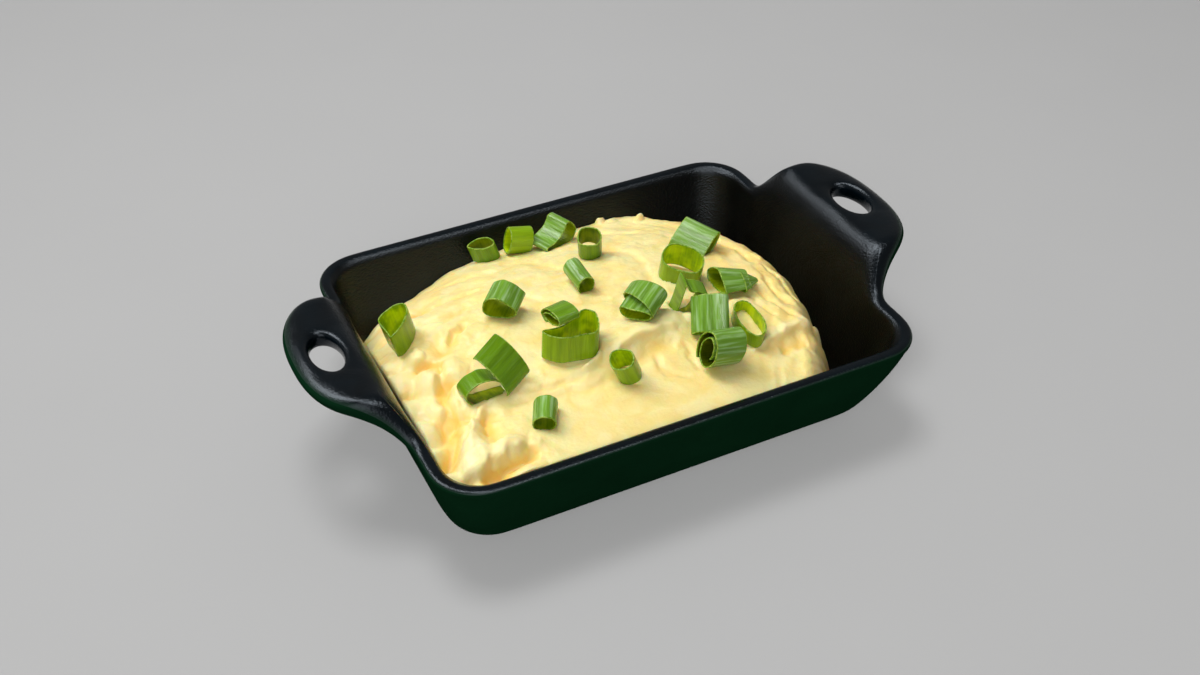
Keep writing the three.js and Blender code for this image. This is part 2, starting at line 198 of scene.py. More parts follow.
def edges_of(mesh, loop):
    """Edges of a closed loop of vertices."""
    return [mesh.edges.get((a, b)) for a, b in zip(loop, loop[1:] + loop[:1])]


def make_piece(name, mesh, finishes, replaced, levels=0):
    """Turns a bmesh into a piece that rides on the dish in place of a CAD node."""
    bmesh.ops.recalc_face_normals(mesh, faces=mesh.faces[:])
    data = bpy.data.meshes.new(name)
    mesh.to_mesh(data)
    mesh.free()
    data.shade_smooth()
    for finish in finishes:
        data.materials.append(finish)
    piece = bpy.data.objects.new(name, data)
    bpy.context.scene.collection.objects.link(piece)
    if levels:
        smooth = piece.modifiers.new("Smooth", "SUBSURF")
        smooth.levels = levels
        smooth.render_levels = levels
    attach(piece, BODY)
    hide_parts(*replaced)
    return piece


def smoothstep(start, end, value):
    u = np.clip((value - start) / (end - start), 0.0, 1.0)
    return u * u * (3 - 2 * u)


def mix(start, end, amount):
    return start + (end - start) * amount


def catmull(line, steps=8, closed=False):
    """A smooth curve through a line's points."""
    points = np.array(line, float)
    if closed:
        points = np.concatenate((points[-1:], points, points[:2]))
    else:
        points = np.concatenate((2 * points[:1] - points[1:2], points, 2 * points[-1:] - points[-2:-1]))
    t = np.linspace(0, 1, steps, endpoint=False)[:, None]
    pieces = []
    for a, b, c, d in zip(points, points[1:], points[2:], points[3:]):
        pieces.append(0.5 * (2 * b + (c - a) * t + (2 * a - 5 * b + 4 * c - d) * t**2
                             + (3 * b - a - 3 * c + d) * t**3))
    return np.concatenate(pieces + [points[-2:-1]])


# ---------------------------------------------------------------- finishes

class Wire:
    """An output socket of a finish. Arithmetic on it adds Math nodes."""

    def __init__(self, finish, socket):
        self.finish = finish
        self.socket = socket

    def maths(self, operation, *values):
        return self.finish.node("ShaderNodeMath", {"operation": operation}, dict(enumerate(values)))

    def __add__(self, other):
        return self.maths("ADD", self, other)

    def __radd__(self, other):
        return self.maths("ADD", other, self)

    def __sub__(self, other):
        return self.maths("SUBTRACT", self, other)

    def __rsub__(self, other):
        return self.maths("SUBTRACT", other, self)

    def __mul__(self, other):
        return self.maths("MULTIPLY", self, other)

    def __rmul__(self, other):
        return self.maths("MULTIPLY", other, self)

    def between(self, low, high):
        """0 at low and below, 1 at high and above, smooth between."""
        return self.finish.node(
            "ShaderNodeMapRange", {"interpolation_type": "SMOOTHSTEP"},
            {"Value": self, "From Min": low, "From Max": high})


class Finish:
    """A procedural material under construction."""

    def __init__(self, name, **shader):
        self.material = bpy.data.materials.new(name)
        self.material.use_nodes = True
        self.tree = self.material.node_tree
        self.shader = self.tree.nodes["Principled BSDF"]
        self.set(**shader)

    def node(self, kind, settings=None, values=None, output=0):
        """Adds a node: its type, its settings, then values or wires for its sockets."""
        node = self.tree.nodes.new(kind)
        for key, value in (settings or {}).items():
            setattr(node, key, value)
        for key, value in (values or {}).items():
            self.feed(node.inputs[key], value)
        return Wire(self, node.outputs[output])

    def feed(self, socket, value):
        if isinstance(value, Wire):
            self.tree.links.new(value.socket, socket)
        else:
            socket.default_value = value

    def set(self, **sockets):
        """Sets or links sockets of the shader, named in lower case with underscores."""
        named = {socket.name.lower().replace(" ", "_"): socket for socket in self.shader.inputs}
        for key, value in sockets.items():
            self.feed(named[key], value)

    def blend(self, share, first, second):
        """A colour between two colours."""
        pair = [value if isinstance(value, Wire) else (*value, 1.0) for value in (first, second)]
        return self.node(
            "ShaderNodeMix", {"data_type": "RGBA"}, {0: share, 6: pair[0], 7: pair[1]}, output=2)

    def places(self, scale=(1.0, 1.0, 1.0), turn=0.0, kind="Object"):
        """Coordinates on the piece, in millimetres, scaled and turned about Z."""
        coordinate = self.node("ShaderNodeTexCoord", output=kind)
        factor = 1 / MM if kind == "Object" else 1.0
        return self.node("ShaderNodeMapping", {}, {
            "Vector": coordinate, "Scale": tuple(factor * value for value in scale),
            "Rotation": (0.0, 0.0, math.radians(turn))})

    def noise(self, places, size, detail=2.0, warp=0.0):
        """Noise of about 0 to 1 with features of a size in millimetres."""
        return self.node("ShaderNodeTexNoise", {}, {
            "Vector": places, "Scale": 1.0 / size, "Detail": detail, "Distortion": warp})

    def attribute(self, name):
        return self.node("ShaderNodeAttribute", {"attribute_name": name}, output="Fac")

    def bump(self, height, depth):
        """A bump of a depth in millimetres."""
        return self.node("ShaderNodeBump", {}, {"Height": height, "Strength": 1.0, "Distance": depth * MM})


BLOOM_SHARE = {"young": 0.02, "green": 0.06, "waxy": 0.75}                  # bloom on each skin
PITH_SHARE = {"young": 1.85, "green": 0.85, "waxy": 1.1, "core": 0.3}       # brightness inside each leaf: its own colour made brighter or darker as painted light shining through the leaf, and darker in the roll's core as painted shade


def scaled(colour, factor):
    return tuple(min(1.0, factor * channel) for channel in colour)


def iron_finish(settings):
    """Seasoned cast iron: blue black and satin on the rim, brown black and pebbled inside."""
    finish = Finish("seasoned_iron", specular_ior_level=0.3, specular_tint=(0.80, 0.90, 1.0, 1.0))
    places = finish.places()
    outside = finish.attribute("outside")
    inside = finish.attribute("inside")
    pebbles = finish.noise(places, 0.55, detail=3.0)
    clouds = finish.noise(places, 14.0, detail=4.0, warp=0.6).between(0.3, 0.7)
    scuffs = finish.noise(places, 2.6, detail=5.0)
    rim = finish.blend(clouds, scaled(settings.iron, 0.6), scaled(settings.iron, 1.5))
    within = finish.blend(clouds, scaled(settings.inside, 0.5), scaled(settings.inside, 1.5))
    finish.set(base_color=finish.blend(outside, finish.blend(inside, rim, within), settings.coat))
    finish.set(roughness=0.12 + 0.12 * scuffs + 0.06 * inside + 0.2 * outside)
    finish.set(normal=finish.bump(pebbles * (0.8 + 0.8 * inside), 0.13))
    return finish.material


def coat_finish(settings):
    """Dark green outside coat, nearly matt, with the casting's faint unevenness."""
    finish = Finish("green_coat", specular_ior_level=0.0)
    places = finish.places()
    clouds = finish.noise(places, 18.0, detail=4.0, warp=0.6)
    skin = finish.noise(places, 1.4, detail=4.0)
    finish.set(base_color=finish.blend(clouds, scaled(settings.coat, 0.75), scaled(settings.coat, 1.25)))
    finish.set(roughness=0.42 + 0.16 * skin)
    finish.set(normal=finish.bump(skin, 0.08))
    return finish.material


def potato_finish(settings):
    """Buttery mash: cream with yellower patches, painted amber shade in the hollows and a painted pale
    highlight on the peaks.
    """
    finish = Finish(
        "buttery_mash", roughness=0.42, specular_ior_level=0.35, subsurface_weight=0.8,
        subsurface_radius=(1.0, 0.5, 0.22), subsurface_scale=1.8 * MM)
    places = finish.places()
    patches = finish.noise(places, 11.0, detail=3.0, warp=1.2).between(0.38, 0.66)
    streaks = finish.noise(finish.places((0.7, 1.0, 1.0), 20.0), 2.6, detail=3.0, warp=0.8)
    grain = finish.noise(places, 0.9, detail=3.0)
    curds = finish.node("ShaderNodeTexVoronoi", {"feature": "SMOOTH_F1"}, {
        "Vector": finish.places((0.8, 1.0, 1.0), 30.0),
        "Scale": 1 / 2.6, "Detail": 1.0, "Smoothness": 0.7})
    # hollow carries painted shade: amber in the relief's hollows and over the right end
    hollow = finish.attribute("hollow")
    # peak carries a painted highlight: the pale colour on the peaks
    peak = finish.attribute("peak")
    colour = finish.blend(patches * (0.2 + 0.6 * streaks), settings.cream, settings.butter)
    colour = finish.blend(hollow, colour, settings.painted_hollow_shade)
    colour = finish.blend(peak, colour, settings.peak_highlight)
    finish.set(base_color=colour)
    finish.set(roughness=0.30 + 0.2 * streaks)
    finish.set(normal=finish.bump(grain * 0.6 + 0.5 * streaks - 0.35 * curds, 0.2))
    return finish.material


def skin_finish(name, settings):
    """Outer skin of a leaf: fine parallel veins, paler bands and a waxy bloom."""
    finish = Finish(
        f"leaf_{name}_skin", specular_ior_level=0.4, subsurface_weight=0.25,
        subsurface_radius=(0.6, 1.0, 0.1), subsurface_scale=0.8 * MM)
    colour = tuple(getattr(settings, name))
    waxy = BLOOM_SHARE[name]
    along = finish.places((1.0, 0.05, 1.0), kind="UV")
    veins = finish.noise(along, 0.34, detail=2.0).between(0.38, 0.66)
    bands = finish.noise(along, 2.3, detail=1.0).between(0.34, 0.68)
    mottle = finish.noise(finish.places((1.0, 0.09, 1.0), kind="UV"), 1.1, detail=3.0).between(0.44, 0.70)
    base = finish.blend(bands, scaled(colour, 0.76), scaled(colour, 1.14))
    base = finish.blend(veins * 0.25, base, scaled(colour, 1.5))
    base = finish.blend(mottle * waxy, base, settings.bloom)
    finish.set(base_color=base)
    finish.set(roughness=0.12 + 0.14 * mottle)
    finish.set(normal=finish.bump(veins + 0.5 * bands, 0.035))
    return finish.material


def pith_finish(name, settings):
    """Inner skin of a leaf: yellow green with painted light shining through it, moist and softly banded.
    """
    finish = Finish(
        f"leaf_{name}_inside", specular_ior_level=0.2, subsurface_weight=0.6,
        subsurface_radius=(1.0, 1.0, 0.1), subsurface_scale=1.4 * MM)
    along = finish.places((1.0, 0.08, 1.0), kind="UV")
    veins = finish.noise(along, 0.7, detail=2.0).between(0.35, 0.7)
    patches = finish.noise(finish.places(), 3.5, detail=2.0).between(0.35, 0.65)
    # share is painted light and shade: brighter where light shines through the leaf, darker in the roll's
    # core
    share = PITH_SHARE[name]
    base = finish.blend(patches, scaled(settings.deep, share), scaled(settings.pith, share))
    base = finish.blend(veins * 0.25, base, scaled(settings.pith, 1.6 * share))
    finish.set(base_color=base, roughness=0.28 + 0.12 * patches)
    finish.set(normal=finish.bump(veins, 0.04))
    return finish.material


def cut_finish(settings):
    """Cut edge of a leaf: pale, with darker cells."""
    finish = Finish("leaf_cut_edge", specular_ior_level=0.25, subsurface_weight=0.3,
                    subsurface_radius=(0.6, 1.0, 0.2), subsurface_scale=0.8 * MM)
    cells = finish.noise(finish.places(), 0.8, detail=2.0).between(0.35, 0.7)
    base = finish.blend(cells, settings.green, settings.cut)
    finish.set(base_color=base, roughness=0.25 + 0.1 * cells)
    finish.set(normal=finish.bump(cells, 0.04))
    return finish.material


def floor_finish(settings):
    finish = Finish("studio_floor", specular_ior_level=0.1)
    soft = finish.noise(finish.places(), 60.0, detail=2.0)
    finish.set(base_color=finish.blend(soft, scaled(settings.floor, 0.97), settings.floor))
    finish.set(roughness=0.85 + 0.1 * soft)
    return finish.material


# ---------------------------------------------------------------- dish

FLOOR = 4.0                      # thickness of the dish's floor
RIM_HEIGHT = 32.0
FILLET_INSET = 5.2               # bottom edge, outside and inside alike
FILLET_HEIGHT = 7.0
WALL_BULGE = 1.3                 # outward bow of the walls at half height
INSET_ROUNDS = 0.6               # how much an inset takes off the corner's radius
FILLET_ROUNDS = 0.8              # how much the fillet's pull takes off it
EAR_HALF_WIDTH = 27.0
EAR_POWER = 2.45                 # fullness of the ear's outline
EAR_SHOULDER = 25.1              # half width where the hollow neck curve starts
EAR_NECK = 34.0                  # half width where the neck meets the rim
RISE_START = 34.0                # half width where the rim begins to climb
RISE_END = 22.5                  # half width where it has reached the ear's height
RIDGE_REACH = 6.4                # how far the inner wall leans out below the ear
HOLE_CENTRE = 80.4               # finger hole, from the dish's middle

EAR_STATIONS = 18                # ring points in a quarter: ear, corner, long side
CORNER_STATIONS = 6
SIDE_STATIONS = 6
FINE_STEPS = 801                 # points along which the ear's outline is measured
SMALL_STEP = 0.01                # length over which its slope is measured
HOLE_STATIONS = 4                # stations each side of the ear's middle that the hole takes
HOLE_ROWS = 3                    # rows of faces that it takes, above and below

# Lines round the dish, from the middle of its floor inside, up and over the rim to the
# middle of its base. A floor line is a share of the outline, a fillet line a share of
# the fillet's height. An ear line is inset and drop along the sides; at an ear it is
# below the ear's top, moved out by a share of the inner ridge (lean) or of the ear's
# outline (reach), and set inside that outline.
INNER_FLOOR = (0.3, 0.7)
INNER_FILLET = (1.0, 0.85, 0.6, 0.32, 0.1)
INNER_LINES = (
    {"height": 15.0, "lean": 0.0, "rise": 0.0},
    {"height": 21.0, "lean": 0.03, "rise": 0.0},
    {"height": 26.0, "lean": 0.12, "rise": 0.07},
    {"height": 29.2, "lean": 0.26, "rise": 0.28},
    {"height": 30.6, "lean": 0.42, "rise": 0.54},
)
RIM_LINES = (
    {"inset": 3.75, "drop": 0.7, "below": 3.4, "lean": 0.66},
    {"inset": 3.1, "drop": 0.08, "below": 1.25, "lean": 1.0},
    {"inset": 1.9, "drop": 0.0, "below": 0.62, "reach": 0.46},
    {"inset": 1.5, "drop": 0.0, "below": 0.12, "reach": 0.8, "set": 1.0},
    {"inset": 0.9, "drop": 0.05, "below": 0.4, "reach": 1.0, "set": 1.6},
    {"inset": 0.25, "drop": 0.45, "below": 1.4, "reach": 1.0, "set": 0.5},
    {"inset": 0.0, "drop": 1.4, "below": 2.8, "reach": 1.0},
)
COATED = 2                       # rim lines, from the last, that the green coat covers
FIRST_INSIDE = 0.8               # how much of the inside's brown the first rim line has
UNDERSIDE_LINES = (
    {"height": 29.6, "below": 4.6, "reach": 1.0, "set": 0.3},
    {"height": 28.9, "below": 5.6, "reach": 1.0, "set": 1.7},
    {"height": 28.6, "below": 5.8, "reach": 0.78},
    {"height": 28.3, "below": 5.9, "reach": 0.5},
    {"height": 28.0, "below": 6.1, "reach": 0.22},
    {"height": 26.6, "below": 9.0, "reach": 0.1},
    {"height": 24.0, "below": 15.5},
)
OUTER_HEIGHTS = (19.0, 13.0)
OUTER_FILLET = (0.0, 0.32, 0.6, 0.85, 1.0)
BASE_FLOOR = (0.7, 0.3)

# Lines of a finger hole, from the top: depth below the ear's top, width past the hole's
# own, and tilt with the ear's top, in degrees.
HOLE_LINES = (
    (0.46, 1.75, 4.4), (0.92, 0.75, 4.4), (1.9, 0.1, 3.0),
    (3.8, 0.1, 0.0), (5.1, 0.5, 0.0), (5.75, 1.2, 0.0),
)


class Dish:
    """The dish's outline, from its settings, in millimetres."""

    def __init__(self, settings):
        self.rim = (mm(settings.rim_length), mm(settings.rim_width), mm(settings.rim_radius))
        self.base = (mm(settings.base_length), mm(settings.base_width), mm(settings.base_radius))
        self.wall = mm(settings.wall)
        self.ear_reach = mm(settings.ear_reach)
        self.ear_rise = mm(settings.ear_rise)
        self.hole = (mm(settings.hole_width) / 2, mm(settings.hole_length) / 2)
        self.straight = self.rim[1] / 2 - self.rim[2]
        self.stations = self.ear_stations()

    def outline(self, height, inset=0.0, fillet=0.0):
        """Half length, half width and corner radius of the outer wall, moved in."""
        share = height / RIM_HEIGHT
        bow = WALL_BULGE * 4 * share * (1 - share)
        half_length = mix(self.base[0], self.rim[0], share) / 2 + bow - inset - fillet
        half_width = mix(self.base[1], self.rim[1], share) / 2 + bow - inset - fillet
        radius = mix(self.base[2], self.rim[2], share) - inset * INSET_ROUNDS - fillet * FILLET_ROUNDS
        return half_length, half_width, radius

    def full_reach(self, side):
        part = np.clip(side / EAR_HALF_WIDTH, 0.0, 1.0) ** EAR_POWER
        return self.ear_reach * (1 - part) ** (1 / EAR_POWER)

    def reach(self, y):
        """How far the ear's outline stands past the rim, at a distance from its middle."""
        side = np.abs(y)
        start = self.full_reach(EAR_SHOULDER)
        slope = (start - self.full_reach(EAR_SHOULDER - SMALL_STEP)) / SMALL_STEP
        span = EAR_NECK - EAR_SHOULDER
        u = np.clip((side - EAR_SHOULDER) / span, 0.0, 1.0)
        neck = start * (1 - 3 * u**2 + 2 * u**3) + slope * span * (u - 2 * u**2 + u**3)
        return np.where(side <= EAR_SHOULDER, self.full_reach(side), neck)

    def climb(self, y):
        """How far the rim has climbed towards the ear's height, 0 to 1."""
        return 1 - smoothstep(RISE_END, RISE_START, np.abs(y))

    def ear_stations(self):
        """Distances from the middle line, evenly spaced along the ear's outline."""
        y = np.linspace(0.0, self.straight, FINE_STEPS)
        steps = np.hypot(np.diff(y), np.diff(self.reach(y)))
        travelled = np.concatenate(([0.0], np.cumsum(steps)))
        wanted = travelled[-1] * np.arange(EAR_STATIONS) / EAR_STATIONS
        return np.interp(wanted, travelled, y)

    def ring(self, outline, height, out=0.0, up=0.0):
        """A closed ring round the dish. out and up move its points at the ears."""
        half_length, half_width, radius = outline
        straight = half_width - radius
        ear = self.stations
        turns = np.linspace(0.0, math.pi / 2, CORNER_STATIONS, endpoint=False)
        sides = np.linspace(half_length - radius, 0.0, SIDE_STATIONS + 1)
        x = (half_length + out * np.ones_like(ear), half_length - radius + radius * np.cos(turns), sides)
        y = (ear * straight / self.straight, straight + radius * np.sin(turns), sides * 0 + half_width)
        z = (height + up * np.ones_like(ear), turns * 0 + height, sides * 0 + height)
        quarter = np.stack([np.concatenate(part) for part in (x, y, z)], axis=1)
        half = np.concatenate((quarter, quarter[-2::-1] * (-1, 1, 1)))
        return np.concatenate((half, half[-2:0:-1] * (1, -1, 1)))

    def ear_line(self, line, outline, height):
        """A ring that follows one of the ear lines."""
        climb = self.climb(self.stations)
        ear = self.reach(self.stations) - line.get("set", 0.0) * climb
        out = RIDGE_REACH * line.get("lean", 0.0) * climb + ear * line.get("reach", 0.0)
        up = (RIM_HEIGHT + self.ear_rise - line["below"] - height) * climb
        return self.ring(outline, height, out, up)

    def rim_outline(self, inset):
        length, width, radius = self.rim
        return length / 2 - inset, width / 2 - inset, radius - inset


def fillet_pull(share):
    """Pull of the bottom fillet at a share of its height, 1 at the bottom."""
    return FILLET_INSET * (1 - np.sqrt(np.maximum(0.0, 1 - share * share)))


def fillet_ring(dish, share, floor, inset):
    height = floor + FILLET_HEIGHT * (1 - share)
    return dish.ring(dish.outline(height, inset, fillet_pull(share)), height)


def dish_rings(dish):
    """The rings of the dish's surface, with how much each is outside and inside."""
    rings = []
    shades = []

    def add(ring, outside, inside):
        rings.append(ring)
        shades.append((outside, inside))

    middle = fillet_ring(dish, 1.0, FLOOR, dish.wall)
    for share in INNER_FLOOR:
        add(middle * (share, share, 1), 0.0, 1.0)
    for share in INNER_FILLET:
        add(fillet_ring(dish, share, FLOOR, dish.wall), 0.0, 1.0)
    for line in INNER_LINES:
        climb = dish.climb(dish.stations)
        out = RIDGE_REACH * line["lean"] * climb
        up = dish.ear_rise * line["rise"] * climb
        outline = dish.outline(line["height"], dish.wall)
        add(dish.ring(outline, line["height"], out, up), 0.0, 1.0)
    for order, line in enumerate(RIM_LINES):
        ring = dish.ear_line(line, dish.rim_outline(line["inset"]), RIM_HEIGHT - line["drop"])
        add(ring, float(order >= len(RIM_LINES) - COATED), FIRST_INSIDE if order == 0 else 0.0)
    for line in UNDERSIDE_LINES:
        add(dish.ear_line(line, dish.outline(line["height"]), line["height"]), 1.0, 0.0)
    for height in OUTER_HEIGHTS:
        add(dish.ring(dish.outline(height), height), 1.0, 0.0)
    for share in OUTER_FILLET:
        add(fillet_ring(dish, share, 0.0, 0.0), 1.0, 0.0)
    base = rings[-1]
    for share in BASE_FLOOR:
        add(base * (share, share, 1), 1.0, 0.0)
    return np.array(rings), shades


def hole_loop(mesh, table, middle, first_row, last_row):
    """Takes out the block of faces that a finger hole passes, and gives its border."""
    count = len(table[0])
    columns = [(middle + k) % count for k in range(-HOLE_STATIONS, HOLE_STATIONS + 1)]
    block = []
    for row in range(first_row, last_row):
        for a, b in zip(columns, columns[1:]):
            corners = (table[row][a], table[row][b], table[row + 1][b], table[row + 1][a])
            block.append(mesh.faces.get(corners))
    border = [table[first_row][c] for c in columns]
    border += [table[row][columns[-1]] for row in range(first_row + 1, last_row)]
    border += [table[last_row][c] for c in reversed(columns)]
    border += [table[row][columns[0]] for row in range(last_row - 1, first_row, -1)]
    bmesh.ops.delete(mesh, geom=block, context="FACES")
    return border


def cut_hole(mesh, table, dish, middle, side, rows):
    """A finger hole through an ear, with softly flared edges."""
    upper = hole_loop(mesh, table, middle, *rows[0])
    lower = hole_loop(mesh, table, middle, *rows[1])
    loops = [edges_of(mesh, upper)]
    top = RIM_HEIGHT + dish.ear_rise
    half_step = Matrix.Rotation(math.pi / len(upper), 4, "Z")
    for depth, flare, tilt in HOLE_LINES:
        size = Matrix.Diagonal(((dish.hole[0] + flare) * MM, (dish.hole[1] + flare) * MM, 1.0, 1.0))
        spot = Matrix.Translation(Vector((side * HOLE_CENTRE, 0.0, top - depth)) * MM)
        lean = Matrix.Rotation(-side * math.radians(tilt), 4, "Y")
        made = bmesh.ops.create_circle(
            mesh, segments=len(upper), radius=1.0, matrix=spot @ lean @ size @ half_step)["verts"]
        loops.append(list({edge for vertex in made for edge in vertex.link_edges}))
    loops.append(edges_of(mesh, lower))
    for first, second in zip(loops, loops[1:]):
        bmesh.ops.bridge_loops(mesh, edges=first + second)


class POTATO_OT_dish(bpy.types.Operator):
    """Cast the iron dish with its two ears and finger holes"""

    bl_idname = "potato.dish"
    bl_label = "Dish"

    def execute(self, context):
        settings = context.scene.potato_dish
        dish = Dish(settings)
        rings, shades = dish_rings(dish)
        count = rings.shape[1]
        mesh, table = sheet(count, len(rings) - 1, "outside", "inside")
        place(table, np.concatenate((rings, rings[:, :1]), axis=1))
        outside = mesh.verts.layers.float["outside"]
        inside = mesh.verts.layers.float["inside"]
        for row, shares in zip(table, shades):
            for vertex in row:
                vertex[outside], vertex[inside] = shares
        close_round(mesh, table)
        table = [row[:-1] for row in table]
        ridge = len(INNER_FLOOR) + len(INNER_FILLET) + len(INNER_LINES) + 1
        lip = ridge + len(RIM_LINES)
        for middle, side in ((0, 1), (count // 2, -1)):
            cut_hole(mesh, table, dish, middle, side, ((ridge, ridge + HOLE_ROWS), (lip, lip + HOLE_ROWS)))
        for face in mesh.faces:
            face.material_index = int(min(vertex[outside] for vertex in face.verts) > 0.9)
        bmesh.ops.holes_fill(mesh, edges=[edge for edge in mesh.edges if edge.is_boundary])
        finishes = [iron_finish(settings), coat_finish(settings)]
        make_piece("dish_shell", mesh, finishes, ["dish"], levels=2)
        return {"FINISHED"}


# ---------------------------------------------------------------- spring onion

# Pieces cut across the leaf tube, in millimetres: the middle, then the way the tube
# points in degrees round from +X and above level, its roll, its length and its skin.
# wide and deep are half sizes of its section. Optional: section gives the section by
# points instead, and open leaves it unclosed; pinch sharpens the two narrow edges; dent
# pushes one flat side in; start and sweep give the arc that the leaf covers, past 360
# for a roll whose layers close in by pitch; taper widens or narrows the far end; slant
# tilts the near cut (a shift, then a slope along the section's two axes); shift moves
# the leaf along its own three axes; inside names another shade for the inside; layers
# are further leaves, given by what differs.

def leaf(at, heading, tilt, turn, length, skin, **shape):
    return dict(at=at, heading=heading, tilt=tilt, turn=turn, length=length, skin=skin, **shape)


ONIONS = (
    leaf((-58, 10, 35.4), -165, 77, 129, 8.6, "young", section=((-0.3, 4.5), (2.9, 3.6), (5.4, 1.5),
         (6.1, -1.1), (3.9, -2.9), (0.3, -3.2), (-3.5, -2.5), (-6.3, -0.8), (-4.5, 1.0))),
    leaf((-19, 45, 28.4), -180, 73, 43, 5.9, "green", section=((-4.2, -1.6), (-2.7, 1.4),
         (0.6, 2.7), (3.7, 1.5), (4.5, -0.5), (2.6, -2.4), (-0.1, -2.9), (-2.4, -2.6))),
    leaf((-9, 42, 30.7), 177, 13, 85, 7.3, "young", wide=4.3, deep=3.2, pinch=0.8, dent=0.5),
    leaf((1.4, 40.3, 30), -66, -3, 30, 7.6, "waxy", section=((-5.3, 3.8), (-2.6, 2.4), (0.4, 1.8),
         (2.8, 2.4), (4.2, 3.3), (6.0, 2.3), (6.6, -1.5), (5.8, -3.4), (2.9, -4.4), (-1.1, -3.4),
         (-4.7, -0.5), (-5.9, 2.2))),
    leaf((5.2, 22, 36.7), -118, 76, 124, 6.5, "green", section=((2.1, 2.8), (4.1, 0.6), (3.7, -1.9),
         (1.2, -3.7), (-1.5, -3.3), (-3.5, -1.4), (-3.7, 0.6), (-2.4, 2.6), (-0.5, 3.8))),
    leaf((-5.7, 6.2, 38.9), -87, -9, 100, 9.0, "waxy", wide=3.2, deep=2.7),
    leaf((-29.8, 4.5, 39.6), -136, -15, 25, 7.2, "waxy", section=((-4.0, 1.9), (-1.6, 4.0),
         (1.9, 4.4), (4.1, 2.8), (5.1, 0.6), (5.6, -1.9), (3.0, -3.6), (-0.9, -3.2), (-4.2, -2.0),
         (-5.1, -0.4))),
    leaf((-22.2, -17.6, 47), -175, -4, 21, 6.0, "green", wide=6.2, deep=3.0, start=30, sweep=560,
         pitch=1.15),
    leaf((-20, -18.4, 39.5), 1, 87, 96, 8.2, "young", section=((7.9, -1.3), (2.5, -0.6),
         (-3.4, -2.6), (-5.7, -4.0), (-7.6, -3.6), (-8.6, -0.4), (-4.8, 6.1), (0.8, 5.6),
         (5.3, 4.2), (7.7, 1.3))),
    leaf((-40.9, -21.5, 39.7), 34, 5, 45, 10.4, "green", wide=6.7, deep=1.9, start=-14, sweep=208),
    leaf((-49.7, -22.2, 35.3), -87, 2, -8, 5.8, "green", open=True, section=((7.6, 2.2), (5.2, 3.5),
         (2.6, 3.9), (0.2, 3.3), (-1.8, 2.1), (-3.0, 0.4), (-2.4, -1.8), (-0.2, -3.3), (3.2, -3.7),
         (10.0, -3.2))),
    leaf((-11.7, -33.7, 36.9), -168, 67, 172, 7.2, "young", section=((3.2, 1.6), (4.0, 0.0),
         (2.7, -2.3), (0.2, -3.7), (-2.0, -3.1), (-3.6, -1.5), (-3.3, 0.9), (-1.3, 2.8),
         (1.0, 2.8))),
    leaf((-36.3, -37.9, 34.2), -117, -9, 25, 7.4, "waxy", wide=3.2, deep=2.9),
    leaf((2.5, -15.4, 41.4), -146, -13, 19, 8.7, "waxy", wide=6.3, deep=4, slant=(-2.7, 0.42, 0.0),
         layers=(dict(length=8.6, slant=(0.0, 0.0, 0.0), section=((-4.4, 1.2), (-3.2, 1.9),
         (-1.3, 1.3), (2.9, 0.6), (5.2, -0.4), (5.5, -1.3), (4.2, -2.6), (1.8, -3.1), (-2.4, -2.8),
         (-4.5, -1.1))),)),
    leaf((33.5, 10.5, 36.4), -59, -8, 30, 11.4, "waxy", wide=5.6, deep=2.8, dent=0.8),
    leaf((21.2, -3.3, 38.8), -77, 79, 105, 7.0, "young", slant=(0.2, 0.0, -0.17),
         section=((5.8, 1.4), (5.8, -2.6), (2.4, -4.7), (-2.8, -5.1), (-5.6, -3.0), (-6.3, 1.2),
         (-3.2, 3.4), (0.2, 4.3), (3.4, 4.2))),
    leaf((15.7, -17.6, 39.1), -104, 2, 0, 6.4, "green", section=((-1.2, 7.2), (-2.4, 3.7),
         (-3.6, -0.4), (-4.8, -3.9), (-4.2, -5.5), (-1.9, -5.3), (0.9, -4.2), (3.2, -0.5),
         (5.2, 2.4), (2.4, 4.2), (0.2, 4.8))),
    leaf((17.2, -27.2, 40), -116, -40, 20, 10.4, "waxy", wide=5.3, deep=2.3),
    leaf((34, -12.3, 36.5), 172, 9, 7, 8.8, "waxy", taper=-0.25, shift=(0.0, 0.0, 1.4),
         section=((-7.0, -0.1), (-4.4, 2.2), (-0.8, 3.5), (1.6, 2.9), (4.8, 1.2), (6.8, -0.6),
         (2.5, -2.2), (-1.9, -2.7), (-5.7, -2.3)), layers=(dict(length=5.8, taper=-0.85,
         shift=(0.4, -0.2, -3.6), section=((-5.6, 0.2), (-1.4, 2.9), (3.4, 2.0), (6.0, -0.6),
         (1.4, -2.2), (-3.4, -2.0))),)),
    leaf((27.1, -31.1, 36.2), -61, 82, 59, 4.4, "young", section=((5.1, 2.4), (7.1, -0.3),
         (6.1, -2.6), (2.1, -3.5), (-2.6, -3.4), (-6.0, -1.7), (-7.5, 1.2), (-5.1, 3.2),
         (-0.2, 3.8))),
    # Its inside uses the darkened core finish: painted shade inside the roll
    leaf((13.9, -39.5, 38), -179, 11, 74, 9.3, "waxy", wide=6.7, deep=5.0, start=250, sweep=620,
         pitch=1.6, inside="core", layers=(dict(length=3.0, wide=3.3, deep=1.65, start=20,
         sweep=700, pitch=0.7),)),
)
LEAF_COLUMNS = 72                # facets round a whole turn
LEAF_ROWS = 9                    # facets along each face of the leaf
CUT_ROWS = 3                     # facets over a cut edge
CUT_ROUND = 0.16                 # roundness of the cut edges
WOBBLE = 0.035                   # unevenness of the section, in waves round the leaf
WOBBLE_ORDERS = (2, 3, 5)
RAGGED = 0.14                    # unevenness of the cuts, in waves round the leaf
RAGGED_ORDERS = (1, 3, 7)
PHASES = 7                       # range from which a wave's start is drawn, in radians
RIBS = 8                         # half the ribs round a leaf
FLARE = 0.03                     # most that one end of a leaf is wider than the other


